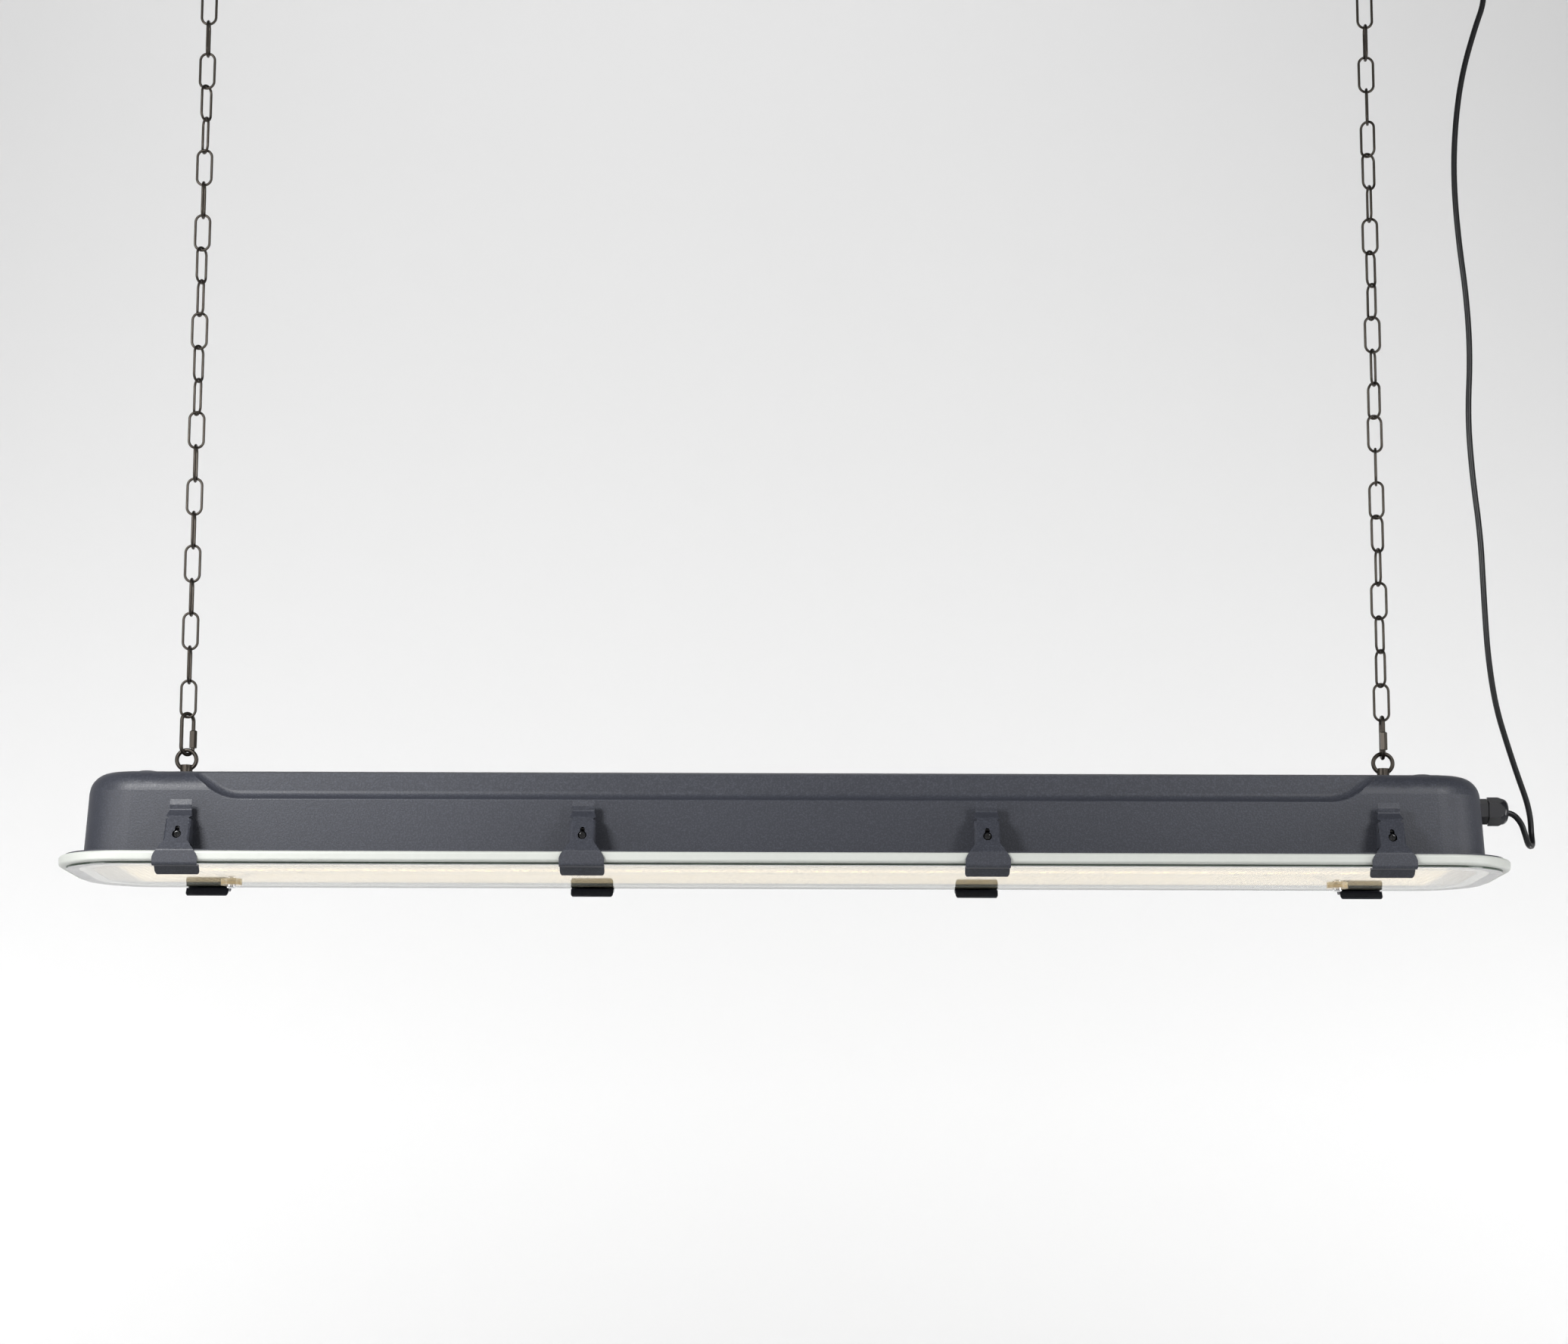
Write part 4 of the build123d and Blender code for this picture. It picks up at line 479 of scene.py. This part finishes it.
def glass_edge():
    """Green cut edge of the glass."""
    edge = tuple(colours().glass_edge)
    return finish("glass_edge", edge, tuple(c * 1.6 for c in edge), grain=40.0, fleck_amount=0.6, cloud=9.0,
                  cloud_amount=0.25, roughness=0.12, spread=0.1, coat=0.4)


def see_through_rear(material):
    """Lets the lamp be seen through the rear of the wall."""
    nodes, links = material.node_tree.nodes, material.node_tree.links
    clear = nodes.new("ShaderNodeBsdfTransparent")
    side = nodes.new("ShaderNodeNewGeometry")
    mix = nodes.new("ShaderNodeMixShader")
    links.new(side.outputs["Backfacing"], mix.inputs[0])
    links.new(nodes["Principled BSDF"].outputs["BSDF"], mix.inputs[1])
    links.new(clear.outputs["BSDF"], mix.inputs[2])
    links.new(mix.outputs["Shader"], nodes["Material Output"].inputs["Surface"])
    return material


def dress(material, *names):
    """Gives CAD nodes a finish."""
    for name in names:
        data = NODES[name].data
        data.materials.clear()
        data.materials.append(material)


def new_piece(name, mesh, body, slot, *materials):
    """Puts a finished mesh in the scene on its body."""
    piece = bpy.data.objects.new(name, mesh)
    bpy.context.scene.collection.objects.link(piece)
    for material in materials:
        mesh.materials.append(material)
    if body:
        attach(piece, body)
    return piece


class LAMP_OT_housing(bpy.types.Operator):
    """Powder coat on the housing, its plugs, the ceiling rose and the brackets"""
    bl_idname = "lamp.housing"
    bl_label = "Housing"

    def execute(self, context):
        dress(housing_coat(), "housing")
        dress(powder_coat(), "ceiling_rose", "blanking_plugs")
        dress(powder_coat(), "clip_brackets", "clip_bracket_front_4", "clip_bracket_rear_4")
        return {"FINISHED"}


class LAMP_OT_suspension(bpy.types.Operator):
    """Dark steel on the chains, links, eyes and hooks"""
    bl_idname = "lamp.suspension"
    bl_label = "Suspension"

    def execute(self, context):
        dress(dark_steel(), *[f"{piece}_{side}" for side in ("left", "right") for piece in (
            "ceiling_hook", "chain", "quick_link", "quick_link_sleeve", "eye_bolt")])
        dress(dark_steel(), "eye_bolt_washers")
        dress(zinc_steel(), "eye_bolt_nuts", "rose_strap", "blanking_plug_nuts")
        return {"FINISHED"}


class LAMP_OT_clips(bpy.types.Operator):
    """Powder coat on the clips, steel on their pins and screws"""
    bl_idname = "lamp.clips"
    bl_label = "Clips"

    def execute(self, context):
        dress(powder_coat(), *[f"clip_{name}" for name in CLIP_NAMES])
        dress(zinc_steel(), "clip_nuts")
        dress(black_screw_steel(), "clip_pins", "clip_screws")
        return {"FINISHED"}


class LAMP_OT_springs(bpy.types.Operator):
    """Leaf springs behind the clips"""
    bl_idname = "lamp.springs"
    bl_label = "Springs"

    def execute(self, context):
        size = sizes()
        for joint in RECORD["behaviour"]["joints"]:
            if not joint["name"].startswith("open_clip"):
                continue
            pin = Vector(joint["pos_m"])
            outward = math.copysign(1.0, pin.y)
            line = [pin + Vector((0.0, outward * reach, rise)) for reach, rise in SPRING_LINE]
            bm = bmesh.new()
            corners = [bm.verts.new(point - Vector((size.spring_width / 2, 0.0, 0.0))) for point in line]
            edges = [bm.edges.new(pair) for pair in zip(corners, corners[1:])]
            swept = bmesh.ops.extrude_edge_only(bm, edges=edges)["geom"]
            bmesh.ops.translate(bm, verts=[part for part in swept if isinstance(part, bmesh.types.BMVert)],
                                vec=(size.spring_width, 0.0, 0.0))
            bends = [edge for edge in bm.edges if len(edge.link_faces) == 2]
            bmesh.ops.bevel(bm, geom=bends, affect="EDGES", offset=SPRING_BEND, segments=5, profile=0.5,
                            material=-1)
            bmesh.ops.recalc_face_normals(bm, faces=bm.faces[:])
            if bm.faces[:][0].normal.y * outward < 0:
                bmesh.ops.reverse_faces(bm, faces=bm.faces[:])
            bmesh.ops.solidify(bm, geom=bm.faces[:], thickness=size.spring_sheet)
            name = joint["name"].replace("open_clip", "leaf_spring")
            mesh = bpy.data.meshes.new(name)
            bm.to_mesh(mesh)
            bm.free()
            leaf = new_piece(name, mesh, LAMP, "plain_steel", zinc_steel())
            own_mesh(leaf)
            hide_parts("clip_springs")
        return {"FINISHED"}


class LAMP_OT_rim(bpy.types.Operator):
    """Silicone on the rim, and the retaining screws under the glass"""
    bl_idname = "lamp.rim"
    bl_label = "Rim"

    def execute(self, context):
        dress(silicone(), "rim_gasket")
        # The washers' amber tint is painted warm light
        dress(washer_plastic_painted_warm_light(), "glass_washers")
        dress(bright_steel(), "glass_screws", "rose_side_screws")
        dress(zinc_steel(), "glass_pillars")
        return {"FINISHED"}


class LAMP_OT_glass(bpy.types.Operator):
    """Glass with a flat outer face and pyramid diamonds on its inner face"""
    bl_idname = "lamp.glass"
    bl_label = "Glass"

    def execute(self, context):
        size = sizes()
        side = size.prism_pitch / math.sqrt(2.0)
        reach = (size.prism_length + size.prism_width) / math.sqrt(2.0) / 2 + side
        count = math.ceil(2 * reach / side)
        top = GLASS_HIGH.z
        mesh = bpy.data.meshes.new("prismatic_glass")
        bm = bmesh.new()
        grid = bmesh.ops.create_grid(bm, x_segments=count, y_segments=count, size=count * side / 2)["verts"]
        bmesh.ops.rotate(bm, verts=grid, matrix=Matrix.Rotation(math.radians(45.0), 3, "Z"))
        bmesh.ops.translate(bm, verts=grid, vec=(0.0, 0.0, top))
        half_x, half_y = size.prism_length / 2, size.prism_width / 2
        corner = size.prism_corner
        for step in range(0, 360, 15):
            normal = Vector((math.cos(math.radians(step)), math.sin(math.radians(step)), 0.0))
            reach = abs(normal.x) * (half_x - corner) + abs(normal.y) * (half_y - corner) + corner
            bmesh.ops.bisect_plane(bm, geom=bm.verts[:] + bm.edges[:] + bm.faces[:], plane_no=normal,
                                   dist=1e-6, plane_co=reach * normal, clear_outer=True)
        bmesh.ops.recalc_face_normals(bm, faces=bm.faces[:])
        if sum(face.normal.z for face in bm.faces) < 0:
            bmesh.ops.reverse_faces(bm, faces=bm.faces[:])
        spots = [Vector((*place, top)) for place in GLASS_SCREWS]
        raised = [face for face in bm.faces
                  if min((face.calc_center_median() - spot).length for spot in spots) > PLAIN_RADIUS]
        field_edge = [edge for edge in bm.edges if edge.is_boundary]
        bmesh.ops.poke(bm, faces=raised, offset=size.prism_height)
        plate = bmesh.ops.create_grid(bm, x_segments=1, y_segments=1, size=0.5)["verts"]
        span = GLASS_HIGH - GLASS_LOW
        bmesh.ops.scale(bm, verts=plate, vec=(span.x, span.y, 1.0))
        bmesh.ops.translate(bm, verts=plate, vec=(0.0, 0.0, GLASS_LOW.z))
        bmesh.ops.bevel(bm, geom=plate, affect="VERTICES", offset=size.glass_corner, segments=24,
                        profile=0.5, material=-1)
        bottom = [face for face in bm.faces if abs(face.calc_center_median().z - GLASS_LOW.z) < 1e-6]
        bmesh.ops.recalc_face_normals(bm, faces=bottom)
        if bottom[0].normal.z > 0:
            bmesh.ops.reverse_faces(bm, faces=bottom)
        rim = [edge for edge in bm.edges if edge.is_boundary and abs(edge.verts[0].co.z - GLASS_LOW.z) < 1e-6]
        risen = bmesh.ops.extrude_edge_only(bm, edges=rim)["geom"]
        walls = [part for part in risen if isinstance(part, bmesh.types.BMFace)]
        lip = [part for part in risen if isinstance(part, bmesh.types.BMEdge) and part.is_boundary]
        bmesh.ops.translate(bm, verts=[part for part in risen if isinstance(part, bmesh.types.BMVert)],
                            vec=(0.0, 0.0, span.z))
        bmesh.ops.triangle_fill(bm, edges=lip + field_edge, use_beauty=True, normal=(0.0, 0.0, 1.0))
        for wall in walls:
            wall.material_index = 1
        bmesh.ops.recalc_face_normals(bm, faces=bm.faces[:])
        bm.to_mesh(mesh)
        bm.free()
        piece = new_piece("prismatic_glass", mesh, LAMP, "green_glass", clear_glass(), glass_edge())
        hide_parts("glass_cover")
        return {"FINISHED"}


class LAMP_OT_cable(bpy.types.Operator):
    """Supply cable from the gland to the ceiling rose"""
    bl_idname = "lamp.cable"
    bl_label = "Cable"

    def execute(self, context):
        diameter = sizes().cable_diameter
        curve = bpy.data.curves.new("cable_line", "CURVE")
        curve.dimensions = "3D"
        curve.resolution_u = 8
        spline = curve.splines.new("NURBS")
        spline.points.add(len(CABLE_ROUTE) - 1)
        for point, place in zip(spline.points, CABLE_ROUTE):
            point.co = (*place, 1.0)
        spline.order_u = 3
        spline.use_endpoint_u = True
        guide = bpy.data.objects.new("cable_line", curve)
        context.scene.collection.objects.link(guide)
        context.view_layer.update()
        depsgraph = context.evaluated_depsgraph_get()
        line = bpy.data.meshes.new_from_object(guide.evaluated_get(depsgraph))
        curve.bevel_depth = diameter / 2
        curve.bevel_resolution = 6
        curve.use_fill_caps = True
        context.view_layer.update()
        tube = bpy.data.meshes.new_from_object(guide.evaluated_get(context.evaluated_depsgraph_get()))
        bpy.data.objects.remove(guide)
        tube.materials.clear()
        for face in tube.polygons:
            face.use_smooth = True
        cable = new_piece("supply_cable_sheath", tube, None, "black_cable", cable_sheath())
        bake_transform(cable)
        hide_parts("supply_cable")
        dress(cable_sheath(), "cable_tail")
        return {"FINISHED"}


class LAMP_OT_gland(bpy.types.Operator):
    """Black nylon on the gland and the rose grip"""
    bl_idname = "lamp.gland"
    bl_label = "Gland"

    def execute(self, context):
        dress(black_nylon(), "gland_body", "gland_nut", "gland_locknut", "gland_seal",
              "rose_cord_grip", "rose_grip_nut")
        return {"FINISHED"}


class LAMP_OT_inside(bpy.types.Operator):
    """Tray, boards, light source, driver and wiring"""
    bl_idname = "lamp.inside"
    bl_label = "Inside"

    def execute(self, context):
        # Painted light: the tray and the boards glow with warm emission that stands in for the light the LED
        # chips throw on them
        dress(lit(white_sheet(), TRAY_PAINTED_LIGHT), "gear_tray")
        dress(white_plastic(), "led_driver", "terminal_block")
        dress(lit(white_board(), BOARD_PAINTED_LIGHT), "led_board_front", "led_board_rear")
        dress(light_source(), "led_chips")
        dress(zinc_steel(), "tray_pillars", "tray_screws", "driver_screws", "terminal_screws", "earth_stud")
        dress(lead_sleeve(), "inner_leads", "driver_leads")
        return {"FINISHED"}


def backdrop():
    """Floor and wall in one sweep, which can be looked through from behind."""
    settings = stage_settings()
    low = settings.floor_height
    bend = settings.wall_distance - SWEEP_CURVE
    bm = bmesh.new()
    line = [bm.verts.new((-SWEEP_HALF_WIDTH, SWEEP_FRONT, low)), bm.verts.new((-SWEEP_HALF_WIDTH, bend, low))]
    turn = bmesh.ops.spin(bm, geom=[line[1]], cent=(-SWEEP_HALF_WIDTH, bend, low + SWEEP_CURVE),
                          axis=(1.0, 0.0, 0.0), angle=math.pi / 2, steps=16)["geom_last"]
    end = turn[0].co
    bm.edges.new(line)
    peak = bm.verts.new((end.x, end.y, end.z + WALL_HEIGHT))
    bm.edges.new((turn[0], peak))
    sweep = bmesh.ops.extrude_edge_only(bm, edges=bm.edges[:])["geom"]
    bmesh.ops.translate(bm, verts=[part for part in sweep if isinstance(part, bmesh.types.BMVert)],
                        vec=(2 * SWEEP_HALF_WIDTH, 0, 0))
    bmesh.ops.recalc_face_normals(bm, faces=bm.faces[:])
    floor = min(bm.faces, key=lambda face: face.calc_center_median().y)
    if floor.normal.z < 0.0:
        bmesh.ops.reverse_faces(bm, faces=bm.faces[:])
    for face in bm.faces:
        face.smooth = True
    mesh = bpy.data.meshes.new("backdrop")
    bm.to_mesh(mesh)
    bm.free()
    paper = finish("backdrop_paper", tuple(settings.wall_tone), grain=60.0, fleck_amount=0.0,
                   cloud_amount=0.0, roughness=0.9)
    mesh.materials.append(see_through_rear(paper))
    sheet = bpy.data.objects.new("backdrop", mesh)
    bpy.context.scene.collection.objects.link(sheet)


def studio_world():
    """Even white light that fades upwards."""
    world = bpy.data.worlds.new("studio")
    bpy.context.scene.world = world
    world.use_nodes = True
    nodes, links = world.node_tree.nodes, world.node_tree.links
    nodes["Background"].inputs["Color"].default_value = (1.0, 1.0, 1.0, 1.0)
    where = nodes.new("ShaderNodeTexCoord")
    split = nodes.new("ShaderNodeSeparateXYZ")
    links.new(where.outputs["Generated"], split.inputs["Vector"])
    falloff = nodes.new("ShaderNodeMapRange")
    falloff.inputs["From Min"].default_value = 0.0
    falloff.inputs["From Max"].default_value = 0.3
    falloff.inputs["To Min"].default_value = 0.48
    falloff.inputs["To Max"].default_value = 0.03
    links.new(split.outputs["Z"], falloff.inputs["Value"])
    links.new(falloff.outputs["Result"], nodes["Background"].inputs["Strength"])


def hang_light(lamp, place, aim):
    """Puts a light in the scene, facing along aim."""
    holder = bpy.data.objects.new(lamp.name, lamp)
    holder.location = place
    holder.rotation_euler = aim.to_track_quat("-Z", "Y").to_euler()
    bpy.context.scene.collection.objects.link(holder)


def studio_lights():
    """Soft boxes round the lamp and a wash on the wall."""
    for name, place, target, width, height, power in LIGHTS:
        lamp = bpy.data.lights.new(name, "AREA")
        lamp.shape = "RECTANGLE"
        lamp.size = width
        lamp.size_y = height
        lamp.energy = power
        hang_light(lamp, place, Vector(target) - Vector(place))
    wash = bpy.data.lights.new("wall_high", "SPOT")
    wash.energy = WASH_POWER
    wash.spot_size = math.radians(90.0)
    wash.spot_blend = 1.0
    wash.shadow_soft_size = 0.6
    hang_light(wash, WASH_PLACE, Vector(WASH_AIM))


def front_camera():
    """Camera below the lamp, looking slightly up."""
    camera = bpy.data.cameras.new("camera")
    camera.sensor_fit = "HORIZONTAL"
    camera.sensor_width = 36.0
    camera.lens = stage_settings().lens
    camera.clip_end = 60.0
    level = math.cos(CAMERA_PITCH)
    ahead = Vector((math.sin(CAMERA_YAW) * level, math.cos(CAMERA_YAW) * level, math.sin(CAMERA_PITCH)))
    right = Vector((math.cos(CAMERA_YAW), -math.sin(CAMERA_YAW), 0.0))
    above = right.cross(ahead)
    side = math.cos(CAMERA_ROLL) * right + math.sin(CAMERA_ROLL) * above
    head = math.cos(CAMERA_ROLL) * above - math.sin(CAMERA_ROLL) * right
    turn = Matrix((side, head, -ahead)).transposed()
    eye = bpy.data.objects.new("camera", camera)
    eye.matrix_world = Matrix.Translation(CAMERA_PLACE) @ turn.to_4x4()
    bpy.context.scene.collection.objects.link(eye)
    bpy.context.scene.camera = eye


class LAMP_OT_stage(bpy.types.Operator):
    """Pale floor and wall, soft lights and the camera"""
    bl_idname = "lamp.stage"
    bl_label = "Stage"

    def execute(self, context):
        backdrop()
        studio_world()
        studio_lights()
        front_camera()
        context.scene.view_settings.view_transform = "Standard"
        return {"FINISHED"}


OPERATORS = (
    LAMP_OT_housing,
    LAMP_OT_suspension,
    LAMP_OT_clips,
    LAMP_OT_springs,
    LAMP_OT_rim,
    LAMP_OT_glass,
    LAMP_OT_cable,
    LAMP_OT_gland,
    LAMP_OT_inside,
    LAMP_OT_stage,
)


class LAMP_PT_panel(bpy.types.Panel):
    """Sizes, finishes and steps of the lamp"""
    bl_idname = "LAMP_PT_panel"
    bl_label = "Pendant lamp"
    bl_space_type = "VIEW_3D"
    bl_region_type = "UI"
    bl_category = "Lamp"

    def draw(self, context):
        for group in (sizes(), colours(), stage_settings()):
            box = self.layout.box()
            for name in group.__annotations__:
                box.prop(group, name)
        for operator in OPERATORS:
            self.layout.operator(operator.bl_idname)


CLASSES = (LampSizes, LampColours, LampStage, *OPERATORS, LAMP_PT_panel)


def register():
    for item in CLASSES:
        bpy.utils.register_class(item)
    bpy.types.Scene.lamp_sizes = bpy.props.PointerProperty(type=LampSizes)
    bpy.types.Scene.lamp_colours = bpy.props.PointerProperty(type=LampColours)
    bpy.types.Scene.lamp_stage = bpy.props.PointerProperty(type=LampStage)


def unregister():
    del bpy.types.Scene.lamp_stage
    del bpy.types.Scene.lamp_colours
    del bpy.types.Scene.lamp_sizes
    for item in reversed(CLASSES):
        bpy.utils.unregister_class(item)


def main():
    register()
    for operator in OPERATORS:
        group, name = operator.bl_idname.split(".")
        getattr(getattr(bpy.ops, group), name)()


if __name__ == "__main__":
    main()
